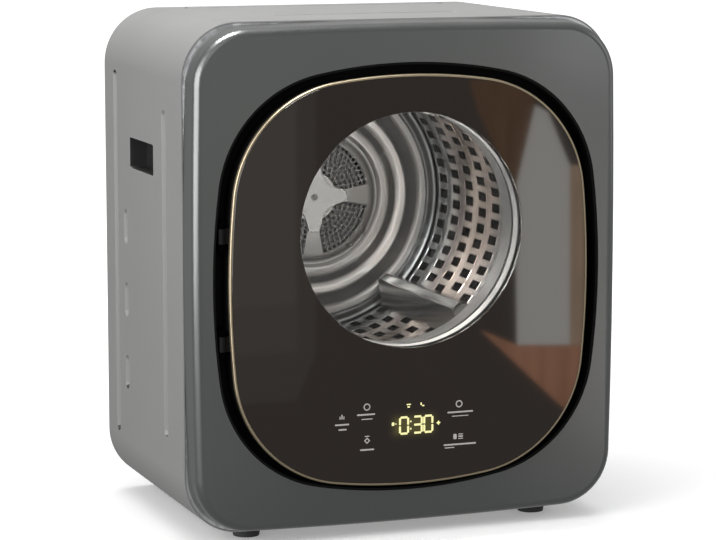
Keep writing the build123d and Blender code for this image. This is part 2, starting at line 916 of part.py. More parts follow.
# Drum back: a pressed disc with ring beads, four perforated petals and a flange in the wrapper
bead_steps = []
for radius in sorted(back_bead_radii):
    bead_steps += [
        (drum_back_y, radius - back_bead_half_base),
        (drum_back_y - back_bead_height, radius - back_bead_half_top),
        (drum_back_y - back_bead_height, radius + back_bead_half_top),
        (drum_back_y, radius + back_bead_half_base),
    ]
with BuildPart() as drum_back:
    with BuildSketch(half_plane(0, axis_z)):
        with BuildLine():
            front_edge = Polyline((drum_back_y, 0), *bead_steps, (drum_back_y, drum_radius))
            rear_edge = Polyline(
                (spider_y, 0),
                *[(y + drum_sheet, radius) for y, radius in bead_steps],
                (spider_y, drum_radius - drum_sheet),
                (drum_back_y + back_flange, drum_radius - drum_sheet),
                (drum_back_y + back_flange, drum_radius),
                (drum_back_y, drum_radius),
            )
            Line(front_edge @ 0, rear_edge @ 0)
        make_face()
    revolve(axis=drum_axis)
    with BuildSketch(facing(spider_y)):
        with Locations((0, axis_z)):
            Circle(bolt_radius)
            for petal in range(petal_count):
                middle = (petal + 0.5) * 360 / petal_count
                for ring in range(petal_ring_count):
                    with PolarLocations(
                        petal_first_radius + ring * petal_ring_pitch,
                        petal_first_count + ring,
                        start_angle=middle - petal_spread / 2,
                        angular_range=petal_spread,
                        endpoint=True,
                    ):
                        Rectangle(petal_hole, petal_hole)
    extrude(amount=drum_sheet, mode=Mode.SUBTRACT)
finish(drum_back, "drum_back")

# Hub cover: a four-armed star with hollow sides over the drum's centre, and its bolt
with BuildPart() as hub_cover:
    with BuildSketch(facing(drum_back_y)) as star:
        with Locations((0, axis_z)):
            with PolarLocations(0, hub_arm_count):
                Polygon(
                    (0, -hub_arm_root),
                    (hub_reach, -hub_arm_tip),
                    (hub_reach, hub_arm_tip),
                    (0, hub_arm_root),
                    align=None,
                )
        inner_corners = star.vertices().sort_by_distance((0, axis_z, 0))[:hub_arm_count]
        fillet(inner_corners, hub_hollow)
        tip_corners = star.vertices().sort_by_distance((0, axis_z, 0))[-2 * hub_arm_count:]
        fillet(tip_corners, hub_round)
        with Locations((0, axis_z)):
            Circle(bolt_radius, mode=Mode.SUBTRACT)
    extrude(amount=hub_thickness)
finish(hub_cover, "hub_cover")

with BuildPart() as hub_bolt:
    with BuildSketch(facing(drum_back_y - hub_thickness)):
        with Locations((0, axis_z)):
            RegularPolygon(bolt_head_radius, 6)
    extrude(amount=bolt_head)
    with BuildSketch(facing(drum_back_y - hub_thickness)):
        with Locations((0, axis_z)):
            Circle(bolt_radius)
    extrude(amount=-bolt_length)
finish(hub_bolt, "hub_bolt")

# Spider behind the drum, and the shaft that turns in the rear bearing
with BuildPart() as drum_spider:
    with BuildSketch(facing(spider_rear_y)):
        with Locations((0, axis_z)):
            Circle(spider_arm)
            with PolarLocations(0, spider_arm_count):
                SlotCenterPoint((spider_reach / 2, 0), (spider_reach, 0), spider_arm)
            Circle(shaft_radius, mode=Mode.SUBTRACT)
    extrude(amount=spider_thickness)
finish(drum_spider, "drum_spider")

with BuildPart() as drum_shaft:
    with BuildSketch(facing(shaft_end_y)):
        with Locations((0, axis_z)):
            Circle(shaft_radius)
    extrude(amount=shaft_end_y - spider_y)
    with BuildSketch(facing(drum_back_y - hub_thickness + bolt_length)):
        with Locations((0, axis_z)):
            Circle(bolt_radius)
    extrude(amount=bolt_length, mode=Mode.SUBTRACT)
finish(drum_shaft, "drum_shaft")

# Lifters: three hollow ribs that carry the clothes round
for lifter in range(lifter_count):
    turn = lifter_first_angle + lifter * 360 / lifter_count
    lifter_front = drum_y + lifter_end_gap
    lifter_rear = drum_back_y - lifter_end_gap
    outward = (math.cos(math.radians(turn)), 0, math.sin(math.radians(turn)))
    across = Plane((0, lifter_rear, axis_z), x_dir=outward, z_dir=(0, -1, 0))
    with BuildPart() as drum_lifter:
        for inset, end in ((0, 0), (lifter_wall, lifter_wall)):
            crest = drum_radius - lifter_height + inset
            base = drum_radius + inset
            with BuildSketch(across.offset(end)) as rib:
                Polygon(
                    (base, -lifter_base / 2 + inset),
                    (crest, -lifter_top / 2 + inset / 2),
                    (crest, lifter_top / 2 - inset / 2),
                    (base, lifter_base / 2 - inset),
                    align=None,
                )
                fillet(rib.vertices().group_by(Axis.X)[0], lifter_round - inset)
                Circle(drum_radius, mode=Mode.INTERSECT)
            extrude(
                amount=lifter_rear - lifter_front - 2 * end,
                mode=Mode.SUBTRACT if end else Mode.ADD,
            )
    finish(drum_lifter, f"lifter_{lifter + 1}")

# Rear panel: a flanged sheet with a pressed bulge over the drum's back and the air channel
drum_circle = (0, axis_z, bulge_radius)
foot_circle = (motor_x, motor_z, bulge_foot_radius)
cap_opening = filter_cap_radius + filter_cap_gap

with BuildPart() as bulge_hollow:
    with BuildSketch(facing(rear_y)):
        add(round_loop(
            (0, axis_z, bulge_radius - sheet), (motor_x, motor_z, bulge_foot_radius - sheet)
        ))
    extrude(amount=-(rear_bulge - sheet))
    fillet(bulge_hollow.faces().sort_by(Axis.Y)[-1].edges(), bulge_round - sheet)

with BuildPart() as rear_panel:
    with BuildSketch(facing(rear_y + sheet)):
        with Locations((0, mid_z)):
            RectangleRounded(inner_width, inner_height, inner_radius)
    extrude(amount=sheet)
    with BuildSketch(facing(rear_y)):
        add(round_loop(drum_circle, foot_circle))
    extrude(amount=-rear_bulge)
    fillet(rear_panel.faces().sort_by(Axis.Y)[-1].edges(), bulge_round)
    add(bulge_hollow.part, mode=Mode.SUBTRACT)
    with BuildSketch(facing(rear_y)):
        with Locations((motor_x, motor_z)):
            Circle(cap_opening)
    extrude(amount=-rear_bulge, mode=Mode.SUBTRACT)
    with BuildSketch(facing(rear_y)):
        with Locations(*panel_screw_places()):
            Circle(screw_radius + screw_hole_gap)
        with Locations((heater_x, heater_z)):
            with GridLocations(0, vent_pitch, 1, vent_count):
                SlotOverall(vent_length, vent_width)
        with Locations((exhaust_x, outlet_low_z + outlet_height / 2)):
            with GridLocations(grille_pitch, 0, grille_slots, 1):
                SlotOverall(outlet_height - 2 * grille_margin, grille_slot, rotation=90)
        with Locations((gland_x, gland_z)):
            Circle(gland_radius)
    extrude(amount=-sheet, mode=Mode.SUBTRACT)
finish(rear_panel, "rear_panel")

with BuildPart() as panel_screws:
    with BuildSketch(facing(rear_y + sheet)):
        with Locations(*panel_screw_places()):
            Circle(screw_head_radius)
    extrude(amount=-screw_head)
    with BuildSketch(facing(rear_y + sheet)):
        with Locations(*panel_screw_places()):
            Circle(screw_radius)
    extrude(amount=screw_length)
finish(panel_screws, "panel_screws")

# Cord gland in the rear panel
with BuildPart() as cord_gland:
    with BuildSketch(half_plane(gland_x, gland_z)):
        with BuildLine():
            Polyline(
                (rear_y - gland_flange, gland_bore),
                (rear_y + sheet + gland_flange, gland_bore),
                (rear_y + sheet + gland_flange, gland_radius + gland_flange),
                (rear_y + sheet, gland_radius + gland_flange),
                (rear_y + sheet, gland_radius),
                (rear_y, gland_radius),
                (rear_y, gland_radius + gland_flange),
                (rear_y - gland_flange, gland_radius + gland_flange),
                close=True,
            )
        make_face()
    revolve(axis=Axis((gland_x, 0, gland_z), (0, 1, 0)))
finish(cord_gland, "cord_gland")

# Rear bearing and its housing on the panel
with BuildPart() as drum_bearing:
    with BuildSketch(facing(bearing_y + bearing_width)):
        with Locations((0, axis_z)):
            Circle(bearing_radius)
            Circle(shaft_radius + running_gap, mode=Mode.SUBTRACT)
    extrude(amount=bearing_width)
finish(drum_bearing, "drum_bearing")

with BuildPart() as bearing_housing:
    shoulder = bearing_radius - housing_shoulder
    with BuildSketch(half_plane(0, axis_z)):
        with BuildLine():
            Polyline(
                (bearing_y, bearing_radius),
                (bearing_y + bearing_width, bearing_radius),
                (bearing_y + bearing_width, shoulder),
                (bulge_inner_y, shoulder),
                (bulge_inner_y, housing_flange_radius),
                (bulge_inner_y - housing_flange, housing_flange_radius),
                (bulge_inner_y - housing_flange, bearing_radius + housing_wall),
                (bearing_y, bearing_radius + housing_wall),
                close=True,
            )
        make_face()
    revolve(axis=drum_axis)
finish(bearing_housing, "bearing_housing")

# Air channel: a tray on the rear panel that leads from the drum's back down to the filter
with BuildPart() as air_channel:
    tray = (0, axis_z, channel_radius)
    tray_foot = (motor_x, motor_z, tunnel_radius + channel_wall)
    tray_inside = (0, axis_z, channel_radius - channel_wall)
    tray_foot_inside = (motor_x, motor_z, tunnel_radius)
    with BuildSketch(facing(bulge_inner_y)):
        add(round_loop(tray, tray_foot))
    extrude(amount=bulge_inner_y - channel_y)
    with BuildSketch(facing(bulge_inner_y)):
        add(round_loop(tray_inside, tray_foot_inside))
    extrude(amount=bulge_inner_y - channel_y - channel_wall, mode=Mode.SUBTRACT)
    with BuildSketch(facing(channel_y + channel_wall)):
        with Locations((0, axis_z)):
            Circle(channel_mouth_radius)
        with Locations((motor_x, motor_z)):
            Circle(tunnel_radius)
    extrude(amount=channel_wall, mode=Mode.SUBTRACT)
finish(air_channel, "air_channel")

# Filter tunnel between the air channel and the blower
with BuildPart() as filter_tunnel:
    with BuildSketch(facing(channel_y)):
        with Locations((motor_x, motor_z)):
            Circle(tunnel_radius + channel_wall)
            Circle(tunnel_radius, mode=Mode.SUBTRACT)
    extrude(amount=channel_y - scroll_rear_y)
finish(filter_tunnel, "filter_tunnel")

# Lint filter: a ribbed basket with a flush cap and a finger bar, drawn out to the rear
filter_front_y = scroll_rear_y + channel_gap
with BuildPart() as lint_filter:
    with BuildSketch(facing(bulge_y)):
        with Locations((motor_x, motor_z)):
            Circle(filter_cap_radius)
    extrude(amount=sheet)
    with BuildSketch(facing(bulge_y)):
        with Locations((motor_x, motor_z)):
            Circle(filter_grip_radius + filter_cup_wall)
    extrude(amount=filter_grip_depth + filter_cup_wall)
    with BuildSketch(facing(bulge_y)):
        with Locations((motor_x, motor_z)):
            Circle(filter_grip_radius)
            Rectangle(2 * filter_grip_radius, filter_grip_bar, mode=Mode.SUBTRACT)
    extrude(amount=filter_grip_depth, mode=Mode.SUBTRACT)
    for ring_y in (bulge_inner_y, filter_front_y + filter_ring):
        with BuildSketch(facing(ring_y)):
            with Locations((motor_x, motor_z)):
                Circle(filter_radius)
                Circle(filter_radius - filter_rib, mode=Mode.SUBTRACT)
        extrude(amount=filter_ring)
    with BuildSketch(facing(bulge_inner_y)):
        with Locations((motor_x, motor_z)):
            with PolarLocations(filter_radius - filter_rib / 2, filter_rib_count):
                Rectangle(filter_rib, filter_rib)
            Circle(filter_radius, mode=Mode.INTERSECT)
    extrude(amount=bulge_inner_y - filter_front_y)
finish(lint_filter, "lint_filter_frame")

# Filter mesh: a fine basket inside the frame's ribs, closed at the front
with BuildPart() as lint_mesh:
    mesh_radius = filter_radius - filter_rib
    mesh_rear_y = channel_y + channel_wall
    with BuildSketch(facing(mesh_rear_y)):
        with Locations((motor_x, motor_z)):
            Circle(mesh_radius)
    extrude(amount=mesh_rear_y - filter_front_y)
    with BuildSketch(facing(mesh_rear_y)):
        with Locations((motor_x, motor_z)):
            Circle(mesh_radius - filter_skin)
    extrude(amount=mesh_rear_y - filter_front_y - filter_skin, mode=Mode.SUBTRACT)
finish(lint_mesh, "lint_filter_mesh")

# Blower scroll with its outlet to the left
with BuildPart() as blower_scroll:
    for inset in (0, scroll_wall):
        with BuildSketch(facing(scroll_rear_y - inset)):
            with Locations((motor_x, motor_z)):
                Circle(scroll_radius - inset)
            with Locations((motor_x, outlet_low_z + inset)):
                Rectangle(
                    outlet_reach, outlet_height - 2 * inset, align=(Align.MAX, Align.MIN)
                )
        extrude(
            amount=scroll_depth - 2 * inset, mode=Mode.SUBTRACT if inset else Mode.ADD
        )
    with BuildSketch(facing(scroll_rear_y)):
        with Locations((motor_x, motor_z)):
            Circle(inlet_radius)
    extrude(amount=scroll_wall, mode=Mode.SUBTRACT)
    with BuildSketch(facing(scroll_y + scroll_wall)):
        with Locations((motor_x, motor_z)):
            Circle(rotor_radius + shaft_hole_gap)
    extrude(amount=scroll_wall, mode=Mode.SUBTRACT)
finish(blower_scroll, "blower_scroll")

# Exhaust duct from the scroll to the grille in the rear panel
with BuildPart() as exhaust_duct:
    outlet_mid_z = outlet_low_z + outlet_height / 2
    with BuildSketch(facing(rear_y)):
        with Locations((exhaust_x, outlet_mid_z)):
            Rectangle(exhaust_width, outlet_height)
    extrude(amount=rear_y - scroll_y)
    with BuildSketch(facing(rear_y)):
        with Locations((exhaust_x, outlet_mid_z)):
            Rectangle(exhaust_width - 2 * channel_wall, outlet_height - 2 * channel_wall)
    extrude(amount=rear_y - scroll_y - channel_wall, mode=Mode.SUBTRACT)
    with BuildSketch(facing(scroll_rear_y - scroll_wall)):
        with Locations((outlet_x, outlet_mid_z)):
            Rectangle(2 * channel_wall, outlet_height - 2 * channel_wall)
    extrude(amount=scroll_depth - 2 * scroll_wall, mode=Mode.SUBTRACT)
finish(exhaust_duct, "exhaust_duct")

# Blower wheel: a back plate, a hub and curved blades round an open eye
blade_arc = ThreePointArc(
    (blade_root, 0),
    ((blade_root + wheel_radius) / 2, (wheel_radius - blade_root) / 4),
    (wheel_radius - 2 * blade_thickness, (wheel_radius - blade_root) * 2 / 3),
)
with BuildPart() as blower_wheel:
    wheel_y = wheel_rear_y - wheel_width
    with BuildSketch(facing(wheel_y + wheel_plate)):
        with Locations((motor_x, motor_z)):
            Circle(wheel_radius)
    extrude(amount=wheel_plate)
    with BuildSketch(facing(wheel_rear_y)):
        with Locations((motor_x, motor_z)):
            Circle(wheel_hub_radius)
    extrude(amount=wheel_width)
    with BuildSketch(facing(wheel_rear_y)):
        with Locations((motor_x, motor_z)):
            with PolarLocations(0, blade_count):
                SlotArc(blade_arc, blade_thickness)
    extrude(amount=wheel_width)
    with BuildSketch(facing(wheel_rear_y)):
        with Locations((motor_x, motor_z)):
            Circle(rotor_radius)
    extrude(amount=wheel_width, mode=Mode.SUBTRACT)
finish(blower_wheel, "blower_wheel")

# Motor, with bosses at both ends that sit in its bracket
with BuildPart() as motor_housing:
    with BuildSketch(facing(motor_rear_y)):
        with Locations((motor_x, motor_z)):
            Circle(motor_radius)
    extrude(amount=motor_length)
    fillet(motor_housing.edges(), motor_round)
    with BuildSketch(facing(motor_rear_y + motor_boss)):
        with Locations((motor_x, motor_z)):
            Circle(motor_boss_radius)
    extrude(amount=motor_length + 2 * motor_boss)
    with BuildSketch(facing(motor_rear_y + motor_boss)):
        with Locations((motor_x, motor_z)):
            Circle(rotor_radius + running_gap)
    extrude(amount=motor_length + 2 * motor_boss, mode=Mode.SUBTRACT)
finish(motor_housing, "motor_housing")

with BuildPart() as motor_bracket:
    plate_rise = motor_z - base_top_z
    foot_front_y = motor_y - motor_boss
    foot_rear_y = motor_rear_y + motor_boss
    with BuildSketch(Plane.XY.offset(base_top_z)):
        with Locations((motor_x, (foot_front_y + foot_rear_y) / 2)):
            Rectangle(2 * bracket_half_width, foot_rear_y - foot_front_y)
    extrude(amount=bracket_plate)
    for plate_y in (foot_front_y + bracket_plate, foot_rear_y):
        with BuildSketch(facing(plate_y)):
            with Locations((motor_x, motor_z)):
                Circle(bracket_crown)
            with Locations((motor_x, base_top_z)):
                Trapezoid(
                    2 * bracket_half_width,
                    plate_rise,
                    math.degrees(math.atan2(plate_rise, bracket_half_width - bracket_crown)),
                    align=(Align.CENTER, Align.MIN),
                )
            with Locations((motor_x, motor_z)):
                Circle(motor_boss_radius, mode=Mode.SUBTRACT)
        extrude(amount=bracket_plate)
finish(motor_bracket, "motor_bracket")

# Motor shaft, from the pulley to the blower wheel
with BuildPart() as motor_shaft:
    with BuildSketch(facing(wheel_rear_y)):
        with Locations((motor_x, motor_z)):
            Circle(rotor_radius)
    extrude(amount=wheel_rear_y - motor_y + rotor_front)
    chamfer(motor_shaft.edges(), rotor_radius / 5)
finish(motor_shaft, "motor_shaft")

# Motor pulley with flanges, and the belt round it and the drum
groove_width = belt_width + 2 * belt_clearance
with BuildPart() as motor_pulley:
    with BuildSketch(half_plane(motor_x, motor_z)):
        with BuildLine():
            Polyline(
                (belt_y - pulley_width / 2, rotor_radius),
                (belt_y - pulley_width / 2, pulley_radius + pulley_flange),
                (belt_y - groove_width / 2, pulley_radius + pulley_flange),
                (belt_y - groove_width / 2, pulley_radius),
                (belt_y + groove_width / 2, pulley_radius),
                (belt_y + groove_width / 2, pulley_radius + pulley_flange),
                (belt_y + pulley_width / 2, pulley_radius + pulley_flange),
                (belt_y + pulley_width / 2, rotor_radius),
                close=True,
            )
        make_face()
    revolve(axis=motor_axis)
finish(motor_pulley, "motor_pulley")

with BuildPart() as drive_belt:
    belt_inside = belt_clearance
    belt_outside = belt_clearance + belt_thickness
    for grow, mode in ((belt_outside, Mode.ADD), (belt_inside, Mode.SUBTRACT)):
        with BuildSketch(facing(belt_y + belt_width / 2)):
            add(round_loop(
                (0, axis_z, drum_outer + grow), (motor_x, motor_z, pulley_radius + grow)
            ))
        extrude(amount=belt_width, mode=mode)
finish(drive_belt, "drive_belt")

# Heater duct behind the intake vents, and the finned heater inside it
with BuildPart() as heater_duct:
    with BuildSketch(facing(rear_y)):
        with Locations((heater_x, heater_z)):
            Rectangle(heater_width, heater_height)
            Rectangle(
                heater_width - 2 * heater_wall, heater_height - 2 * heater_wall, mode=Mode.SUBTRACT
            )
    extrude(amount=heater_length)
finish(heater_duct, "heater_duct")

with BuildPart() as heater_element:
    core_width = heater_width - 2 * heater_wall
    core_height = heater_height - 2 * heater_wall
    with BuildSketch(facing(rear_y - heater_inset)):
        with Locations((heater_x, heater_z)):
            Rectangle(core_width, core_height)
            Rectangle(
                core_width - 2 * heater_frame, core_height - 2 * heater_frame, mode=Mode.SUBTRACT
            )
            with GridLocations(core_width / (heater_fins + 1), 0, heater_fins, 1):
                Rectangle(heater_fin, core_height)
    extrude(amount=heater_core)
finish(heater_element, "heater_element")

# Control case: an open tray on the base plate, with posts for its board
with BuildPart() as control_case:
    with BuildSketch(Plane.XY.offset(base_top_z)):
        with Locations((case_x, case_y)):
            RectangleRounded(case_width, case_depth, 2 * case_wall)
    extrude(amount=case_height)
    with BuildSketch(Plane.XY.offset(base_top_z + case_wall)):
        with Locations((case_x, case_y)):
            RectangleRounded(case_width - 2 * case_wall, case_depth - 2 * case_wall, case_wall)
    extrude(amount=case_height, mode=Mode.SUBTRACT)
    with BuildSketch(Plane.XY.offset(base_top_z + case_wall)):
        with Locations((case_x, case_y)):
            with GridLocations(
                case_width - 8 * post_radius, case_depth - 8 * post_radius, 2, 2
            ):
                Circle(post_radius)
    extrude(amount=case_post)
finish(control_case, "control_case")

# Control board with its relays and capacitors
with BuildPart() as control_board:
    board_z = base_top_z + case_wall + case_post
    with BuildSketch(Plane.XY.offset(board_z)):
        with Locations((case_x, case_y)):
            Rectangle(case_width - 4 * case_wall, case_depth - 4 * case_wall)
    extrude(amount=board_thickness)
    with BuildSketch(Plane.XY.offset(board_z + board_thickness)):
        with Locations((case_x - part_pitch / 2, case_y)):
            with GridLocations(0, part_pitch, 1, 3):
                Rectangle(relay_size, relay_size)
    extrude(amount=relay_height)
    with BuildSketch(Plane.XY.offset(board_z + board_thickness)):
        with Locations((case_x + part_pitch / 2, case_y)):
            with GridLocations(0, part_pitch, 1, 3):
                Circle(capacitor_radius)
    extrude(amount=capacitor_height)
finish(control_board, "control_board")
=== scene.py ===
import bpy
import json
from math import cos, hypot, pi, radians, sin
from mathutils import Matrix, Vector

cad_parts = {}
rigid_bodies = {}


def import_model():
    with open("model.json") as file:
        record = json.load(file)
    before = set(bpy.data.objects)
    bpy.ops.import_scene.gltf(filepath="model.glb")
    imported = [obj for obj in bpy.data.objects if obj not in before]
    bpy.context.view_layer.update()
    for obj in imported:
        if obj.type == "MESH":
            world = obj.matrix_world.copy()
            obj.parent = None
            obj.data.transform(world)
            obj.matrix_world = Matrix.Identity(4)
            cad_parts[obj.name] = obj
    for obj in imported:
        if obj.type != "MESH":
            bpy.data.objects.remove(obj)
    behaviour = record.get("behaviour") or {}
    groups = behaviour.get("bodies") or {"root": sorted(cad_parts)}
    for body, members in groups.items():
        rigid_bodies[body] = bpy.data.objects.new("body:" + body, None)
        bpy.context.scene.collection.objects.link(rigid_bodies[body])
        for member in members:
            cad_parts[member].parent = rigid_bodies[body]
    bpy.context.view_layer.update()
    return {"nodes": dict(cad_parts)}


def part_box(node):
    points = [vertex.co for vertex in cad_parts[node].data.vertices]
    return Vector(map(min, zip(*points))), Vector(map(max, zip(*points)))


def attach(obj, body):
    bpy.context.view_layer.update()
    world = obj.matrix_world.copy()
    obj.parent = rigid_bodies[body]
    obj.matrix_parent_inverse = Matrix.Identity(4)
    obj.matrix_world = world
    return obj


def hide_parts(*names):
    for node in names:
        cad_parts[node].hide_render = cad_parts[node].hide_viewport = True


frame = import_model()

MM = 0.001

# Places read from the solids
drum_low, drum_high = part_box("drum_wrapper")
glass_low, glass_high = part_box("outer_glass")
back_low, back_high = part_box("drum_back")
AXIS_X = 0.0
AXIS_Z = (drum_low.z + drum_high.z) / 2
DRUM_RADIUS = drum_high.x
DRUM_FRONT = drum_low.y
CENTRE = Vector((AXIS_X, 0, AXIS_Z))


# Modelling by hand
def deselect():
    """Leaves edit mode with nothing selected."""
    if bpy.context.object and bpy.context.object.mode != "OBJECT":
        bpy.ops.object.mode_set(mode="OBJECT")
    bpy.ops.object.select_all(action="DESELECT")


def hold(piece):
    """Makes the piece the only one selected, and the active one."""
    deselect()
    piece.select_set(True)
    bpy.context.view_layer.objects.active = piece
    return piece


def start(name, add, **size):
    """Adds a primitive at its size and place, and sets its place in its mesh."""
    deselect()
    add(**size)
    piece = bpy.context.object
    piece.name = piece.data.name = name
    bpy.ops.object.transform_apply(location=True, rotation=True, scale=True)
    return piece


def edit(piece, kind, test=None):
    """Opens the piece in edit mode with the parts selected that pass the test."""
    hold(piece)
    bpy.context.tool_settings.mesh_select_mode = [kind == k for k in ("VERT", "EDGE", "FACE")]
    mesh = piece.data
    for parts in (mesh.vertices, mesh.edges, mesh.polygons):
        parts.foreach_set("select", [False] * len(parts))
    if kind == "VERT":
        for v in mesh.vertices:
            v.select = test is None or test(v.co)
    if kind == "EDGE":
        for e in mesh.edges:
            ends = [mesh.vertices[i].co for i in e.vertices]
            e.select = test is None or test(*ends)
    if kind == "FACE":
        for f in mesh.polygons:
            f.select = test is None or test(f.center, f.normal)
    bpy.ops.object.mode_set(mode="EDIT")


def done():
    bpy.ops.object.mode_set(mode="OBJECT")


def apply_modifier(piece, kind, **settings):
    """Adds one modifier and applies it."""
    hold(piece)
    modifier = piece.modifiers.new(kind, kind)
    for name, value in settings.items():
        setattr(modifier, name, value)
    bpy.ops.object.modifier_apply(modifier=modifier.name)
    return piece


def duplicate(piece):
    """A copy of the piece, with its own mesh."""
    hold(piece)
    bpy.ops.object.duplicate()
    return bpy.context.object


def moved(piece, step, test=None):
    """Moves the points of the piece that pass the test."""
    edit(piece, "VERT", test)
    bpy.ops.transform.translate(value=step)
    done()
    return piece


def cut_by(piece, cutter):
    """Cuts the cutter's form out of the piece."""
    apply_modifier(piece, "BOOLEAN", object=cutter, operation="DIFFERENCE", solver="EXACT")
    bpy.data.objects.remove(cutter)
    return piece


def merged(piece, distance=0.01 * MM):
    """Joins the points that lie on each other."""
    edit(piece, "VERT")
    bpy.ops.mesh.remove_doubles(threshold=distance)
    done()
    return piece


def outward(piece):
    """Turns the faces outward, by the sign of the volume they enclose."""
    edit(piece, "FACE")
    bpy.ops.mesh.normals_make_consistent(inside=False)
    done()
    if sum(face.area * face.normal.dot(face.center) for face in piece.data.polygons) < 0:
        edit(piece, "FACE")
        bpy.ops.mesh.flip_normals()
        done()
    return piece


def smooth(piece, crease=35):
    """Shades smooth all but the edges that are sharper than the crease."""
    hold(piece)
    bpy.ops.object.shade_smooth_by_angle(angle=radians(crease))
    return piece


def softened(piece, width, crease=40, segments=2):
    """Rounds the sharp edges and shades the flats flat."""
    apply_modifier(
        piece, "BEVEL", width=width, segments=segments, limit_method="ANGLE",
        angle_limit=radians(crease), use_clamp_overlap=True,
    )
    smooth(piece, crease)
    return apply_modifier(piece, "WEIGHTED_NORMAL", keep_sharp=True)


def copies(piece, count, turn, centre):
    """Repeats the piece, turned about a line along Y each time, and joins the copies to it."""
    made = [piece]
    for number in range(1, count):
        copy = duplicate(piece)
        edit(copy, "VERT")
        bpy.ops.transform.rotate(value=turn * number, orient_axis="Y", center_override=centre)
        done()
        made.append(copy)
    return joined(made)


def joined(made):
    """Joins the pieces to the first of them."""
    hold(made[0])
    for other in made:
        other.select_set(True)
    if len(made) > 1:
        bpy.ops.object.join()
    return made[0]


def chain(name, points):
    """A line of edges, drawn by extruding one point from place to place."""
    piece = start(name, bpy.ops.mesh.primitive_plane_add, size=MM)
    edit(piece, "VERT")
    bpy.ops.mesh.merge(type="CENTER")
    bpy.ops.transform.translate(value=points[0])
    for here, there in zip(points, points[1:]):
        bpy.ops.mesh.extrude_vertices_move(
            TRANSFORM_OT_translate={"value": Vector(there) - Vector(here)}
        )
    done()
    return piece


def turned(name, profile, steps):
    """A round part: its section, as (radius, y) pairs in mm, spun about the drum's axis."""
    points = [Vector((r * MM, y * MM, AXIS_Z)) for r, y in profile]
    piece = chain(name, [*points, points[0]])
    edit(piece, "VERT")
    bpy.ops.mesh.remove_doubles(threshold=0.001 * MM)
    bpy.ops.mesh.select_all(action="SELECT")
    bpy.ops.mesh.spin(steps=steps, angle=2 * pi, center=CENTRE, axis=(0, 1, 0))
    bpy.ops.mesh.select_all(action="SELECT")
    bpy.ops.mesh.remove_doubles(threshold=0.005 * MM)
    bpy.ops.mesh.normals_make_consistent(inside=False)
    done()
    return piece


def taken(node, name, bevel=0.0, crease=32, flats=0.15):
    """A merged copy of a solid, cleaned of the lines on its flats, in its place."""
    piece = duplicate(frame["nodes"][node])
    bpy.ops.object.parent_clear(type="CLEAR_KEEP_TRANSFORM")
    piece.name = piece.data.name = name
    bpy.ops.mesh.customdata_custom_splitnormals_clear()
    edit(piece, "VERT")
    bpy.ops.mesh.remove_doubles(threshold=0.004 * MM)
    bpy.ops.mesh.select_all(action="SELECT")
    bpy.ops.mesh.dissolve_limited(angle_limit=radians(flats))
    done()
    if bevel:
        softened(piece, bevel, crease)
    else:
        smooth(piece, crease)
        apply_modifier(piece, "WEIGHTED_NORMAL", keep_sharp=True)
    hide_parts(node)
    return piece


# Finishes
def group(name, inputs, outputs):
    """A node group with named inputs, its nodes reached through the returned helpers."""
    tree = bpy.data.node_groups.new(name, "ShaderNodeTree")
    for label, kind, value in inputs:
        socket = tree.interface.new_socket(label, in_out="INPUT", socket_type=kind)
        if value is not None:
            socket.default_value = value
    for label, kind in outputs:
        tree.interface.new_socket(label, in_out="OUTPUT", socket_type=kind)
    return tree, tree.nodes.new("NodeGroupInput"), tree.nodes.new("NodeGroupOutput")


def node(tree, kind, inputs=None, **settings):
    """A node with its settings and its inputs: a value, or the output that feeds it."""
    made = tree.nodes.new(kind)
    for name, value in settings.items():
        setattr(made, name, value)
    for key, value in (inputs or {}).items():
        if isinstance(value, bpy.types.NodeSocket):
            tree.links.new(value, made.inputs[key])
        else:
            made.inputs[key].default_value = value
    return made


def maths(tree, operation, *values, clamp=False):
    made = node(tree, "ShaderNodeMath", dict(enumerate(values)), operation=operation)
    made.use_clamp = clamp
    return made.outputs[0]


def noise(tree, vector, scale, detail=3.0, rough=0.5):
    made = node(
        tree, "ShaderNodeTexNoise",
        {"Vector": vector, "Scale": scale, "Detail": detail, "Roughness": rough},
    )
    return made.outputs["Fac"]


def blend(tree, factor, first, second):
    """A colour between the first and the second."""
    made = node(tree, "ShaderNodeMix", data_type="RGBA")
    for key, value in ((0, factor), (6, first), (7, second)):
        if isinstance(value, bpy.types.NodeSocket):
            tree.links.new(value, made.inputs[key])
        else:
            made.inputs[key].default_value = value
    return made.outputs[2]


def spread(tree, value, low, high):
    """Turns a value from 0 to 1 into one from low to high."""
    made = node(
        tree, "ShaderNodeMapRange",
        {"Value": value, "From Min": 0.0, "From Max": 1.0, "To Min": low, "To Max": high},
    )
    return made.outputs[0]


def make_peel():
    """Orange peel of paint, or the grain of a mould: a fine height and a slow tone."""
    tree, inside, out = group(
        "surface grain",
        [("Grain Size", "NodeSocketFloat", 900.0), ("Tone Size", "NodeSocketFloat", 9.0)],
        [("Height", "NodeSocketFloat"), ("Tone", "NodeSocketFloat")],
    )
    place = node(tree, "ShaderNodeTexCoord").outputs["Object"]
    fine = noise(tree, place, inside.outputs["Grain Size"], 2.0)
    slow = noise(tree, place, inside.outputs["Tone Size"], 4.0, 0.55)
    tree.links.new(fine, out.inputs["Height"])
    tree.links.new(slow, out.inputs["Tone"])
    return tree


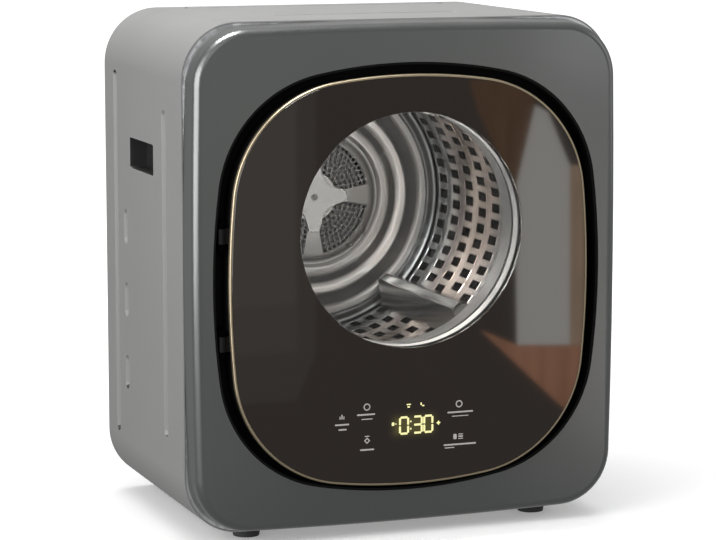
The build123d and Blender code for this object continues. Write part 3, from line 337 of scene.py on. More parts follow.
def make_wear():
    """Edges rubbed bright or dull: where the rounded normal leaves the true one."""
    tree, inside, out = group(
        "edge wear",
        [("Reach", "NodeSocketFloat", 0.0015), ("Amount", "NodeSocketFloat", 1.0)],
        [("Mask", "NodeSocketFloat")],
    )
    place = node(tree, "ShaderNodeTexCoord").outputs["Object"]
    rounded = node(tree, "ShaderNodeBevel", {"Radius": inside.outputs["Reach"]}, samples=4)
    true = node(tree, "ShaderNodeNewGeometry").outputs["Normal"]
    turn = node(
        tree, "ShaderNodeVectorMath", {0: rounded.outputs[0], 1: true}, operation="DOT_PRODUCT"
    ).outputs["Value"]
    edge = maths(tree, "MULTIPLY", maths(tree, "SUBTRACT", 1.0, turn), 5.0, clamp=True)
    broken = maths(tree, "MULTIPLY", edge, noise(tree, place, 60.0, 5.0, 0.7))
    mask = maths(tree, "MULTIPLY", broken, inside.outputs["Amount"], clamp=True)
    tree.links.new(mask, out.inputs["Mask"])
    return tree


def make_dust():
    """Dust that settles on what faces up, in soft patches."""
    tree, inside, out = group(
        "settled dust",
        [("Amount", "NodeSocketFloat", 0.2)],
        [("Mask", "NodeSocketFloat")],
    )
    place = node(tree, "ShaderNodeTexCoord").outputs["Object"]
    normal = node(tree, "ShaderNodeNewGeometry").outputs["Normal"]
    up = node(tree, "ShaderNodeSeparateXYZ", {0: normal}).outputs["Z"]
    facing = maths(tree, "POWER", maths(tree, "MAXIMUM", up, 0.0), 2.0)
    patches = noise(tree, place, 22.0, 6.0, 0.65)
    mask = maths(tree, "MULTIPLY", facing, patches)
    mask = maths(tree, "MULTIPLY", mask, inside.outputs["Amount"], clamp=True)
    tree.links.new(mask, out.inputs["Mask"])
    return tree


def make_turning():
    """Fine lines that run round the drum's axis, as rolled and polished steel has."""
    tree, inside, out = group(
        "polished rings",
        [("Fineness", "NodeSocketFloat", 2600.0)],
        [("Height", "NodeSocketFloat"), ("Tone", "NodeSocketFloat")],
    )
    place = node(tree, "ShaderNodeTexCoord").outputs["Object"]
    parts = node(tree, "ShaderNodeSeparateXYZ", {0: place}).outputs
    across = maths(tree, "SUBTRACT", parts["X"], AXIS_X)
    above = maths(tree, "SUBTRACT", parts["Z"], AXIS_Z)
    radius = maths(tree, "SQRT", maths(
        tree, "ADD", maths(tree, "MULTIPLY", across, across), maths(tree, "MULTIPLY", above, above)
    ))
    angle = maths(tree, "ARCTAN2", above, across)
    ring = node(tree, "ShaderNodeCombineXYZ", {
        "X": maths(tree, "MULTIPLY", radius, inside.outputs["Fineness"]),
        "Y": maths(tree, "MULTIPLY", parts["Y"], inside.outputs["Fineness"]),
        "Z": maths(tree, "MULTIPLY", angle, 1.5),
    }).outputs[0]
    tree.links.new(noise(tree, ring, 1.0, 2.0), out.inputs["Height"])
    slow = node(tree, "ShaderNodeVectorMath", {0: ring, 1: (0.03, 0.03, 1.0)},
                operation="MULTIPLY").outputs[0]
    tree.links.new(noise(tree, slow, 1.0, 3.0), out.inputs["Tone"])
    return tree


def make_spangle():
    """The flowered crystals of galvanised sheet."""
    tree, inside, out = group(
        "zinc spangle",
        [("Size", "NodeSocketFloat", 130.0)],
        [("Tone", "NodeSocketFloat")],
    )
    place = node(tree, "ShaderNodeTexCoord").outputs["Object"]
    cells = node(tree, "ShaderNodeTexVoronoi", {"Vector": place, "Scale": inside.outputs["Size"]})
    tree.links.new(node(tree, "ShaderNodeSeparateXYZ", {0: cells.outputs["Color"]}).outputs[0],
                   out.inputs["Tone"])
    return tree


def make_inner_shade():
    """Painted shade inside a shell that stands round the drum: the mask of where it faces the
    middle, which takes a dark colour.
    """
    tree, inside, out = group("inner side", [], [("Mask", "NodeSocketFloat")])
    place = node(tree, "ShaderNodeTexCoord").outputs["Object"]
    outward_line = node(tree, "ShaderNodeVectorMath", {0: place, 1: CENTRE},
                        operation="SUBTRACT").outputs[0]
    normal = node(tree, "ShaderNodeNewGeometry").outputs["True Normal"]
    turned_in = node(tree, "ShaderNodeVectorMath", {0: outward_line, 1: normal},
                     operation="DOT_PRODUCT").outputs["Value"]
    tree.links.new(maths(tree, "LESS_THAN", turned_in, -0.02), out.inputs["Mask"])
    return tree


peel = make_peel()
inner_shade = make_inner_shade()
wear = make_wear()
dust = make_dust()
turning = make_turning()
spangle = make_spangle()


def new_material(name):
    """A material with its Principled shader, as (material, tree, shader)."""
    material = bpy.data.materials.new(name)
    material.use_nodes = True
    tree = material.node_tree
    return material, tree, tree.nodes["Principled BSDF"]


def placed(tree, made, inputs=None):
    """One of the shared groups in a material, with its own values."""
    use = tree.nodes.new("ShaderNodeGroup")
    use.node_tree = made
    for key, value in (inputs or {}).items():
        use.inputs[key].default_value = value
    return use.outputs


def colour(value):
    return (*value, 1.0)


def bump(tree, shader, height, strength, distance=0.0002):
    """Feeds a height to the shader's normal."""
    made = node(tree, "ShaderNodeBump",
                {"Height": height, "Strength": strength, "Distance": distance})
    tree.links.new(made.outputs[0], shader.inputs["Normal"])


def painted(name, base, rough, grain=900.0, strength=0.12, coat=0.0, coat_rough=0.1,
            metal=0.0, wear_amount=0.6, dusty=0.25, variation=0.12, tone=9.0,
            shine=0.5, inside=None):
    """Paint or moulded plastic: a slow change of tone, fine grain, worn edges and dust, and painted
    shade in the inside colour where faces turn to the drum.
    """
    material, tree, shader = new_material(name)
    grain_out = placed(tree, peel, {"Grain Size": grain, "Tone Size": tone})
    light = colour([min(1.0, c * (1 + variation)) for c in base])
    dark = colour([c * (1 - variation) for c in base])
    body = blend(tree, grain_out["Tone"], dark, light)
    edge = placed(tree, wear, {"Amount": wear_amount})["Mask"]
    body = blend(tree, edge, body, colour([min(1.0, c * 1.8 + 0.02) for c in base]))
    dusted = placed(tree, dust, {"Amount": dusty})["Mask"]
    body = blend(tree, dusted, body, colour((0.45, 0.44, 0.42)))
    # painted shade: faces turned towards the drum take the dark inside colour
    if inside:
        body = blend(tree, placed(tree, inner_shade)["Mask"], body, colour(inside))
    tree.links.new(body, shader.inputs["Base Color"])
    tree.links.new(spread(tree, grain_out["Tone"], rough * 0.88, rough * 1.12),
                   shader.inputs["Roughness"])
    shader.inputs["Metallic"].default_value = metal
    shader.inputs["Specular IOR Level"].default_value = shine
    shader.inputs["Coat Weight"].default_value = coat
    shader.inputs["Coat Roughness"].default_value = coat_rough
    bump(tree, shader, grain_out["Height"], strength)
    return material


def sheet_steel(name, base, rough, lines=True, dull=0.12, strength=0.05, bands=None,
                along="Y", metal=1.0):
    """Bare steel: polished in rings, or galvanised with its crystals, with painted bands of light
    and shade along the drum's axis, up, or out from the axis."""
    material, tree, shader = new_material(name)
    made = placed(tree, turning) if lines else placed(tree, spangle)
    dark = colour([c * (1 - dull) for c in base])
    body = blend(tree, made["Tone"], dark, colour(base))
    # painted light and shade: the ramp's tones multiply the steel's colour band by band
    if bands:
        ramp = node(tree, "ShaderNodeValToRGB", {"Fac": painted_band_place(tree, bands, along)})
        stops = ramp.color_ramp.elements
        first, last = bands[0][0], bands[-1][0]
        while len(stops) < len(bands):
            stops.new(1.0)
        for stop, (place, tone) in zip(stops, bands):
            stop.position = (place - first) / (last - first)
            stop.color = colour(tone)
        mixed = node(tree, "ShaderNodeMix", data_type="RGBA", blend_type="MULTIPLY")
        mixed.inputs[0].default_value = 1.0
        tree.links.new(body, mixed.inputs[6])
        tree.links.new(ramp.outputs["Color"], mixed.inputs[7])
        body = mixed.outputs[2]
    tree.links.new(body, shader.inputs["Base Color"])
    tree.links.new(spread(tree, made["Tone"], rough * 0.75, rough * 1.25),
                   shader.inputs["Roughness"])
    shader.inputs["Metallic"].default_value = metal
    if lines:
        bump(tree, shader, made["Height"], strength, 0.0001)
    return material


def painted_band_place(tree, bands, along):
    """Where a point lies between the first and the last band, from 0 to 1."""
    parts = node(tree, "ShaderNodeSeparateXYZ",
                 {0: node(tree, "ShaderNodeTexCoord").outputs["Object"]}).outputs
    place = parts["Z" if along == "Z" else "Y"]
    if along == "OUT":
        above = maths(tree, "SUBTRACT", parts["Z"], AXIS_Z)
        place = maths(tree, "SQRT", maths(
            tree, "ADD", maths(tree, "MULTIPLY", parts["X"], parts["X"]),
            maths(tree, "MULTIPLY", above, above)
        ))
    made = node(tree, "ShaderNodeMapRange", {
        "Value": place, "From Min": bands[0][0] * MM, "From Max": bands[-1][0] * MM,
    })
    return made.outputs[0]


# Low, because two panes stand one behind the other and each face adds its haze
PANE_IOR = 1.14


def glass(name, tint, rough):
    """Clear glass that lets the lamps through, with a faint film of smudges."""
    material, tree, shader = new_material(name)
    grain_out = placed(tree, peel, {"Grain Size": 35.0, "Tone Size": 14.0})
    smudge = maths(tree, "MULTIPLY", grain_out["Tone"], grain_out["Height"])
    tree.links.new(spread(tree, smudge, 0.0, rough), shader.inputs["Roughness"])
    shader.inputs["Base Color"].default_value = colour(tint)
    shader.inputs["Transmission Weight"].default_value = 1.0
    shader.inputs["IOR"].default_value = PANE_IOR
    clear = node(tree, "ShaderNodeBsdfTransparent", {"Color": colour(tint)})
    path = node(tree, "ShaderNodeLightPath")
    mixed = node(tree, "ShaderNodeMixShader", {0: path.outputs["Is Shadow Ray"]})
    tree.links.new(shader.outputs[0], mixed.inputs[1])
    tree.links.new(clear.outputs[0], mixed.inputs[2])
    tree.links.new(mixed.outputs[0], tree.nodes["Material Output"].inputs["Surface"])
    return material


def lit(name, base, glow):
    """A lit mark behind the glass, a little uneven over its width."""
    material, tree, shader = new_material(name)
    grain_out = placed(tree, peel, {"Grain Size": 700.0, "Tone Size": 300.0})
    bright = blend(tree, grain_out["Tone"], colour([c * 0.8 for c in base]), colour(base))
    tree.links.new(bright, shader.inputs["Base Color"])
    tree.links.new(bright, shader.inputs["Emission Color"])
    shader.inputs["Emission Strength"].default_value = glow
    return material


def pressed_felt():
    """Grey felt: a coarse fibre in its tone, its roughness and its height."""
    material, tree, shader = new_material("pressed felt")
    grain_out = placed(tree, peel, {"Grain Size": 2200.0, "Tone Size": 160.0})
    tree.links.new(blend(tree, grain_out["Tone"], colour((0.16, 0.15, 0.14)),
                         colour((0.3, 0.29, 0.27))), shader.inputs["Base Color"])
    tree.links.new(spread(tree, grain_out["Height"], 0.85, 1.0), shader.inputs["Roughness"])
    bump(tree, shader, grain_out["Height"], 0.9, 0.0006)
    return material


finishes = {
    # the inside colours of the cabinet paint and the bezel paint are painted shade
    "cabinet_paint": painted("cabinet paint", (0.275, 0.275, 0.272), 0.6, strength=0.06,
                             variation=0.05, shine=0.4, inside=(0.003, 0.003, 0.003)),
    "bezel_plastic": painted("bezel paint", (0.066, 0.071, 0.069), 0.34, strength=0.05,
                             coat=0.65, coat_rough=0.17, metal=0.2, variation=0.05,
                             inside=(0.012, 0.012, 0.012)),
    "black_plastic": painted("black plastic", (0.012, 0.012, 0.012), 0.42, grain=1600.0,
                             strength=0.2, dusty=0.06),
    "grey_plastic": painted("grey plastic", (0.06, 0.062, 0.064), 0.5, grain=1500.0, strength=0.25),
    "foot_rubber": painted("black rubber", (0.016, 0.016, 0.017), 0.78, grain=2400.0,
                           strength=0.35, dusty=0.15),
    "felt": pressed_felt(),
    "zinc_steel": sheet_steel("galvanised steel", (0.62, 0.63, 0.64), 0.38, lines=False, dull=0.35),
    "drum_steel": sheet_steel("polished drum steel", (0.56, 0.56, 0.555), 0.15),
    "hub_plastic": painted("pale hub plastic", (0.14, 0.141, 0.139), 0.34, grain=1500.0,
                           strength=0.1, coat=0.2, dusty=0.1, variation=0.06),
    "shaft_steel": sheet_steel("ground steel", (0.66, 0.66, 0.67), 0.22, strength=0.1),
    "motor_paint": painted("motor enamel", (0.03, 0.032, 0.035), 0.4, coat=0.3),
    "tinted_glass": glass("tinted front glass", (0.86, 0.84, 0.82), 0.01),
    "clear_glass": glass("clear pane", (0.97, 0.98, 0.98), 0.01),
    "trim_metal": sheet_steel("warm brushed trim", (0.31, 0.26, 0.18), 0.46, strength=0.08),
    "magnet": painted("magnet nickel", (0.5, 0.5, 0.5), 0.3, metal=1.0),
    "heater_fins": sheet_steel("heater aluminium", (0.7, 0.7, 0.7), 0.45, lines=False),
    "board": painted("circuit board", (0.012, 0.07, 0.03), 0.35, coat=0.4, tone=80.0,
                     variation=0.3),
    "display": painted("display window", (0.01, 0.009, 0.008), 0.3),
    "mesh": sheet_steel("woven filter mesh", (0.45, 0.46, 0.47), 0.4),
}
film_finish = painted("glass over dark print", (0.0135, 0.0075, 0.0035), 0.035, grain=60.0,
                      strength=0.0, dusty=0.0, wear_amount=0.0)


# The lit digits' middle, their half width and height, and how far their glow reaches
DIGITS_MIDDLE = (1.5 * MM, 0.0, 106 * MM)
DIGITS_HALF = (17 * MM, 1.0, 5 * MM)
GLOW_REACH = 12 * MM


def halo(material):
    """A faint olive glow that the lit digits throw into the print round them."""
    tree = material.node_tree
    away = node(tree, "ShaderNodeTexCoord").outputs["Object"]
    for operation, other in (("SUBTRACT", DIGITS_MIDDLE), ("ABSOLUTE", (0.0, 0.0, 0.0)),
                             ("SUBTRACT", DIGITS_HALF), ("MAXIMUM", (0.0, 0.0, 0.0))):
        away = node(tree, "ShaderNodeVectorMath", {0: away, 1: other},
                    operation=operation).outputs[0]
    far = node(tree, "ShaderNodeVectorMath", {0: away}, operation="LENGTH").outputs["Value"]
    near = node(tree, "ShaderNodeMapRange",
                {"Value": far, "From Min": 0.0, "From Max": GLOW_REACH, "To Min": 1.0,
                 "To Max": 0.0}).outputs[0]
    glow = blend(tree, maths(tree, "POWER", near, 2.5), colour((0, 0, 0)),
                 colour((0.055, 0.05, 0.012)))
    shader = tree.nodes["Principled BSDF"]
    tree.links.new(glow, shader.inputs["Emission Color"])
    shader.inputs["Emission Strength"].default_value = 1.0


halo(film_finish)
# black moulding, made darker than the black plastic so the deep groove reads as shade: its own
# black and painted shade
dark_finish = painted("deep black lining", (0.003, 0.003, 0.003), 0.7, grain=1600.0,
                      strength=0.2, dusty=0.0, wear_amount=0.0, shine=0.08)
# painted shade: the hinge arms and pins are kept black and without shine so they sink into the
# shaded groove
hinge_shade_finish = painted("hinge in painted shade", (0.0012, 0.0012, 0.0012), 0.9, grain=1600.0,
                       strength=0.1, dusty=0.0, wear_amount=0.0, shine=0.0)
# painted tones of shade, half light and light for the bands below
SHADE_TONE, MID, LIT_TONE = (0.075, 0.075, 0.075), (0.5, 0.5, 0.5), (1.0, 1.0, 1.0)
# painted light and shade: bright and dark rings at the beads' radii, where the pressed beads catch
# and lose the light
back_light_finish = sheet_steel("pressed drum back in painted light", (0.95, 0.95, 0.94), 0.3, strength=0.02, bands=[
    (0, (0.4, 0.4, 0.4)), (58, (0.35, 0.35, 0.35)), (66, SHADE_TONE), (70, (0.55, 0.55, 0.55)),
    (80, (0.6, 0.6, 0.6)), (83, SHADE_TONE),
    (89, SHADE_TONE), (91.5, LIT_TONE), (99.5, LIT_TONE), (102.5, SHADE_TONE), (113, (0.1, 0.1, 0.1)),
    (116, MID), (125, MID), (128, SHADE_TONE), (131.5, SHADE_TONE), (133.5, MID),
    (140, MID),
], along="OUT")
# painted shade: the fans are kept dark and dull as the shaded recess of the back
fan_shade_finish = painted("perforated steel in painted shade", (0.036, 0.036, 0.0355), 0.8, strength=0.05,
                     wear_amount=0.0, dusty=0.0, shine=0.0)
# near black: the spider's dark cast metal, and painted shade on the parts seen through the drum's
# holes
cast_and_shade_finish = painted("dark cast metal and painted shade", (0.004, 0.004, 0.004), 0.8, wear_amount=0.0,
                      dusty=0.0, shine=0.0)
collar_finish = sheet_steel("satin port steel", (0.5, 0.5, 0.495), 0.3)
# painted highlight and shade: the ring is painted bright along its bottom and dark higher up
ring_highlight_finish = sheet_steel("window ring with painted highlight", (0.85, 0.85, 0.84), 0.35, strength=0.02, bands=[
    (170, LIT_TONE), (205, (0.9, 0.9, 0.9)), (225, (0.25, 0.25, 0.25)), (340, SHADE_TONE), (410, MID),
], along="Z", metal=0.0)
# painted reflection: bands along the axis, dimmer at the front and warm in the middle, stand for
# what the wall reflects
wall_reflection_finish = sheet_steel("polished drum wall with painted reflection", (0.5, 0.5, 0.495), 0.17, bands=[
    (-100, (0.62, 0.62, 0.62)), (-50, (0.62, 0.61, 0.6)), (-22, (0.95, 0.8, 0.73)),
    (18, (1.0, 0.84, 0.74)), (62, (0.95, 0.83, 0.8)), (86, (0.82, 0.84, 0.86)),
    (124, (0.8, 0.84, 0.88)),
])
led_finish = lit("pale yellow light", (0.8, 0.76, 0.36), 0.75)
mark_finish = lit("white touch mark", (0.45, 0.43, 0.4), 0.3)

own_finish = {"drum_spider": cast_and_shade_finish, "bearing_housing": cast_and_shade_finish,
              "drum_bearing": cast_and_shade_finish, "air_channel": cast_and_shade_finish,
              "hinge_pins": hinge_shade_finish}


def dress_solids():
    """Gives every solid the finish of its slot, and returns the slots by node."""
    slots = {}
    for name, item in frame["nodes"].items():
        for holder in item.material_slots:
            slot = holder.name.split(".")[0]
            slots.setdefault(name, slot)
            holder.material = own_finish.get(name, finishes[slot])
    return slots


slot_of = dress_solids()


def dress(piece, body, slot, finish=None):
    """Gives the piece its one finish, the given one or else its slot's, and its body."""
    piece.data.materials.clear()
    piece.data.materials.append(finish or finishes[slot])
    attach(piece, body)
    return piece


# Cabinet and door
def carried(node_name, name, body, bevel=0.0, crease=32, finish=None):
    """A solid's own form with softened edges, dressed as a piece."""
    return dress(taken(node_name, name, bevel, crease), body, slot_of[node_name], finish)


carried("front_bezel", "bezel", "cabinet", crease=40)
carried("cabinet_wrap", "outer_wrap", "cabinet", crease=40)
carried("door_well", "door_well_lining", "cabinet", 0.4 * MM, finish=dark_finish)
carried("hinge_bracket_lower", "lower_hinge_arm", "cabinet", 0.3 * MM, finish=hinge_shade_finish)
carried("hinge_bracket_upper", "upper_hinge_arm", "cabinet", 0.3 * MM, finish=hinge_shade_finish)
carried("rear_panel", "back_panel", "cabinet", crease=40)
carried("grip_cup_left", "left_grip_cup", "cabinet", 0.4 * MM)
carried("grip_cup_right", "right_grip_cup", "cabinet", 0.4 * MM)
carried("port_collar", "port_ring", "cabinet", 0.25 * MM, finish=collar_finish)
carried("door_frame", "door_edge", "door", 0.35 * MM, finish=dark_finish)
carried("window_ring", "window_bezel_ring", "door", 0.5 * MM, finish=ring_highlight_finish)
carried("door_liner", "door_inner_shell", "door", 0.4 * MM)
carried("inner_pane", "inner_window_pane", "door", 0.2 * MM)
carried("door_gasket", "door_seal", "door", crease=45)
carried("trim_ring", "gold_trim", "door", 0.3 * MM)
carried("drum_front", "drum_mouth", "drum", crease=40, finish=collar_finish)
carried("hub_cover", "hub_star", "drum", 0.7 * MM)
carried("hub_bolt", "hub_bolt_head", "drum", 0.25 * MM, finish=finishes["black_plastic"])
for number in (1, 2, 3):
    carried(f"lifter_{number}", f"clothes_lifter_{number}", "drum", 2.2 * MM,
            finish=finishes["drum_steel"])


# Front glass: one plate in two finishes, dark print behind it all but the round window
WINDOW_RADIUS = 111 * MM
SURFACE_DROP = 0.12 * MM
glass_front = glass_low.y
glass_back = glass_high.y


def make_printed_glass():
    """The solid's plate, its front set back a hair for the marks, with its window cut out."""
    piece = taken("outer_glass", "printed_glass", flats=0.1)
    moved(piece, (0, SURFACE_DROP, 0), lambda co: co.y < glass_front + 0.05 * MM)
    cutter = start(
        "window_cutter", bpy.ops.mesh.primitive_cylinder_add, vertices=160,
        radius=WINDOW_RADIUS, depth=20 * MM, location=(0, glass_back, AXIS_Z),
        rotation=(pi / 2, 0, 0),
    )
    return softened(cut_by(piece, cutter), 0.35 * MM, 50)


def make_window_glass():
    """The clear round of the same plate."""
    thick = glass_back - glass_front - SURFACE_DROP
    piece = start(
        "window_glass", bpy.ops.mesh.primitive_cylinder_add, vertices=160,
        radius=WINDOW_RADIUS - 0.05 * MM, depth=thick,
        location=(0, glass_back - thick / 2, AXIS_Z), rotation=(pi / 2, 0, 0),
    )
    edit(piece, "FACE", lambda centre, normal: abs(normal.y) > 0.9)
    bpy.ops.mesh.inset(thickness=2 * MM)
    done()
    softened(piece, 0.05 * MM, 50, 1)
    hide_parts("outer_glass")
    return piece


dress(make_printed_glass(), "door", "tinted_glass", film_finish)
dress(make_window_glass(), "door", "tinted_glass")


# Drum
HOLES_ROUND = 54
HOLE_COLUMNS = 6
COLUMN_PITCH = 34 * MM
REAR_COLUMN = 105 * MM
HOLE_HALF = 11 * MM
HOLE_WIDTH_HALF = 5.2 * MM
INNER_RADIUS = DRUM_RADIUS - 1 * MM
HOLES_REAR = REAR_COLUMN + COLUMN_PITCH / 2
HOLES_FRONT = HOLES_REAR - HOLE_COLUMNS * COLUMN_PITCH
RIM_DEPTH = 4.5 * MM
WALL_REAR = back_high.y - RIM_DEPTH

# Rolled step ahead of the holes: the length of each band, and its widening
STEP_WIDENING = 0.988
ROLLED_STEP = ((4 * MM, 1), (2 * MM, STEP_WIDENING), (3 * MM, 1), (2 * MM, 1 / STEP_WIDENING))
STEP_LENGTH = 11 * MM


def make_cell():
    """One punched cell of the drum's wall, with the drum's axis along Z."""
    pitch = 2 * pi * INNER_RADIUS / HOLES_ROUND
    cell = start(
        "drum_wall", bpy.ops.mesh.primitive_grid_add, x_subdivisions=4, y_subdivisions=4,
        size=1, location=(INNER_RADIUS, 0, 0), rotation=(0, -pi / 2, 0),
    )
    edit(cell, "VERT")
    bpy.ops.transform.resize(value=(1, pitch, COLUMN_PITCH), center_override=(INNER_RADIUS, 0, 0))
    done()
    quarter = COLUMN_PITCH / 4
    edit(cell, "VERT", lambda co: quarter / 2 < abs(co.z) < quarter * 1.5)
    bpy.ops.transform.resize(value=(1, 1, HOLE_HALF / quarter), center_override=(0, 0, 0))
    done()
    edit(cell, "VERT", lambda co:
         abs(co.z) < HOLE_HALF * 1.1 and abs(abs(co.y) - pitch / 4) < 0.1 * MM)
    bpy.ops.transform.resize(value=(1, HOLE_WIDTH_HALF * 4 / pitch, 1), center_override=(0, 0, 0))
    done()
    apply_modifier(cell, "CAST", cast_type="CYLINDER", factor=1.0, size=INNER_RADIUS,
                   use_radius_as_size=False)
    edit(cell, "FACE", lambda c, n: abs(c.z) < HOLE_HALF and abs(c.y) < pitch / 4)
    bpy.ops.mesh.dissolve_faces()
    bpy.ops.mesh.inset(thickness=0.35 * MM, depth=0.35 * MM)
    bpy.ops.mesh.inset(thickness=0.35 * MM, depth=0.0)
    bpy.ops.mesh.inset(thickness=0.2 * MM, depth=-0.3 * MM)
    bpy.ops.mesh.delete(type="FACE")
    done()
    return cell


def stacked(cell, offset, count):
    """One set of rings of cells, each ring turned by the offset."""
    turn = 2 * pi / HOLES_ROUND
    hub = bpy.data.objects.new("turning centre", None)
    bpy.context.scene.collection.objects.link(hub)
    hub.rotation_euler = (0, 0, turn)
    bpy.context.view_layer.update()
    apply_modifier(
        cell, "ARRAY", count=HOLES_ROUND, use_relative_offset=False, use_object_offset=True,
        offset_object=hub, use_merge_vertices=True, use_merge_vertices_cap=True,
        merge_threshold=0.05 * MM,
    )
    bpy.data.objects.remove(hub)
    apply_modifier(
        cell, "ARRAY", count=count, use_relative_offset=False, use_constant_offset=True,
        constant_offset_displace=(0, 0, 2 * COLUMN_PITCH),
    )
    edit(cell, "VERT")
    bpy.ops.transform.rotate(value=offset, orient_axis="Z", center_override=(0, 0, 0))
    done()
    return cell


def extended(wall, height, bands):
    """Draws the wall's open edge at a height on along Z, by each band's length and widening."""
    edit(wall, "EDGE", lambda a, b:
         abs(a.z - height) < 0.1 * MM and abs(b.z - height) < 0.1 * MM)
    for length, widening in bands:
        bpy.ops.mesh.extrude_region_move(TRANSFORM_OT_translate={"value": (0, 0, length)})
        if widening != 1:
            bpy.ops.transform.resize(value=(widening, widening, 1), center_override=(0, 0, 0))
    done()


def stand_in_place(wall):
    """Turns the wall from Z to the drum's own axis and sets it between its two ends."""
    edit(wall, "VERT")
    bpy.ops.transform.rotate(value=-pi / 2, orient_axis="X", center_override=(0, 0, 0))
    done()
    along = [v.co.y for v in wall.data.vertices]
    forward = (DRUM_FRONT + WALL_REAR) / 2 - (max(along) + min(along)) / 2
    moved(wall, (0, forward, AXIS_Z))


def make_drum_wall():
    """The perforated wall: even and odd columns of cells between two plain bands."""
    cell = make_cell()
    second = moved(duplicate(cell), (0, 0, COLUMN_PITCH))
    even = stacked(cell, 0.0, (HOLE_COLUMNS + 1) // 2)
    odd = stacked(second, pi / HOLES_ROUND, HOLE_COLUMNS // 2)
    wall = joined([even, odd])
    merged(wall, 0.06 * MM)
    low = -COLUMN_PITCH / 2
    high = low + HOLE_COLUMNS * COLUMN_PITCH
    extended(wall, low, [(HOLES_REAR - WALL_REAR, 1)])
    extended(wall, high, [*ROLLED_STEP, (HOLES_FRONT - DRUM_FRONT - STEP_LENGTH, 1)])
    stand_in_place(wall)
    # the wall's inner side is the one that shows, so its faces look at the axis first
    edit(wall, "FACE")
    bpy.ops.mesh.normals_make_consistent(inside=True)
    done()
    apply_modifier(wall, "SOLIDIFY", thickness=0.6 * MM, offset=-1.0)
    smooth(wall, 28)
    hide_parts("drum_wrapper")
    return wall


dress(make_drum_wall(), "drum", "drum_steel", wall_reflection_finish)

# Drum back, its radii and its places along the axis in mm
BEAD_HEIGHT = 4.5
PLATE_FACE = back_low.y / MM + BEAD_HEIGHT
PLATE_THICK = 1.0
PLATE_INNER = 61.3
BEAD_RADII = (75.5, 96.0, 119.5)
BEAD_FRONT = ((6, 0), (4.4, 2.6), (2.6, 4.2), (0, BEAD_HEIGHT))
BEAD_REAR = ((5.4, -PLATE_THICK), (3.7, 1.6), (2, 3.2), (0, BEAD_HEIGHT - PLATE_THICK))
OPENING_INNER, OPENING_OUTER = 24.5, 60
FAN_INNER, FAN_OUTER = 24.2, 60.3
FAN_FRONT, FAN_REAR = PLATE_FACE + 0.4, PLATE_FACE + 0.8
PETAL_RINGS = (27, 32, 37, 42, 47, 52, 57)
PETAL_SPREAD = radians(64)
PETAL_HOLE = 1.95 * MM
PETAL_PITCH = 5.2


def bead(middle, half, face):
    """A ring bead's section, from its inner foot over its crown to its outer foot."""
    rise = [(middle - out, face - up) for out, up in half]
    fall = [(middle + out, face - up) for out, up in reversed(half[:-1])]
    return rise + fall


def make_drum_back():
    """Pressed drum back outside the fans: a groove, three ring beads and the turned rim."""
    y = PLATE_FACE
    front = [(PLATE_INNER, y), (62, y), (65, y + 0.6), (68.5, y)]
    for middle in BEAD_RADII:
        front += bead(middle, BEAD_FRONT, y)
    front += [(132.5, y), (134.8, y + 0.4), (136, y + 1.8), (136, y + 4)]
    rear = [(137, y + 4), (137, y + 3), (135.6, y + 2.2), (134, y + 1.3),
            (132.5, y + PLATE_THICK)]
    for middle in reversed(BEAD_RADII):
        rear += reversed(bead(middle, BEAD_REAR, y))
    rear += [(PLATE_INNER, y + PLATE_THICK)]
    return outward(turned("drum_back_plate", front + rear, steps=120))


def make_petal_cutters(y):
    """The punches of all four fans, as one piece."""
    punch = start(
        "punch", bpy.ops.mesh.primitive_cylinder_add, vertices=10, radius=PETAL_HOLE,
        depth=8 * MM, location=(0, y, AXIS_Z), rotation=(pi / 2, 0, 0),
    )
    made = []
    for ring in PETAL_RINGS:
        count = int(PETAL_SPREAD * ring / PETAL_PITCH) + 1
        for number in range(count):
            angle = pi / 4 - PETAL_SPREAD / 2 + PETAL_SPREAD * number / (count - 1)
            place = (ring * MM * cos(angle), 0, ring * MM * sin(angle))
            made.append(moved(duplicate(punch), place))
    bpy.data.objects.remove(punch)
    return copies(joined(made), 4, pi / 2, (AXIS_X, y, AXIS_Z))


def fans(name, inner, outer, low, high, reach):
    """Four fan shapes between the hub's arms: a section turned part of the way round."""
    first = pi / 4 - reach / 2
    section = [(inner, low), (outer, low), (outer, high), (inner, high)]
    piece = chain(name, [Vector((r * MM, y * MM, AXIS_Z)) for r, y in section])
    edit(piece, "VERT")
    bpy.ops.mesh.edge_face_add()
    bpy.ops.transform.rotate(value=first, orient_axis="Y", center_override=CENTRE)
    bpy.ops.mesh.spin(steps=18, angle=reach, center=CENTRE, axis=(0, 1, 0))
    bpy.ops.mesh.select_all(action="SELECT")
    bpy.ops.mesh.remove_doubles(threshold=0.005 * MM)
    bpy.ops.mesh.normals_make_consistent(inside=False)
    done()
    return outward(copies(piece, 4, pi / 2, CENTRE))


def make_drum_plate():
    """The pressed back, open where the perforated fans sit behind it."""
    plate = make_drum_back()
    middle = start(
        "middle", bpy.ops.mesh.primitive_cylinder_add, vertices=120, radius=PLATE_INNER * MM,
        depth=PLATE_THICK * MM, location=(0, (PLATE_FACE + PLATE_THICK / 2) * MM, AXIS_Z),
        rotation=(pi / 2, 0, 0),
    )
    cut_by(middle, fans("openings", OPENING_INNER, OPENING_OUTER, PLATE_FACE - 1.5,
                        PLATE_FACE + 2.5, PETAL_SPREAD + radians(6)))
    smooth(joined([plate, outward(middle)]), 32)
    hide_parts("drum_back")
    return plate


def make_fans():
    """The thin perforated sheet that closes the back's four openings."""
    piece = fans("perforated_fans", FAN_INNER, FAN_OUTER, FAN_FRONT, FAN_REAR,
                 PETAL_SPREAD + radians(7))
    cut_by(piece, make_petal_cutters((FAN_FRONT + FAN_REAR) / 2 * MM))
    smooth(outward(piece), 32)
    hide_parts("drum_back")
    return piece


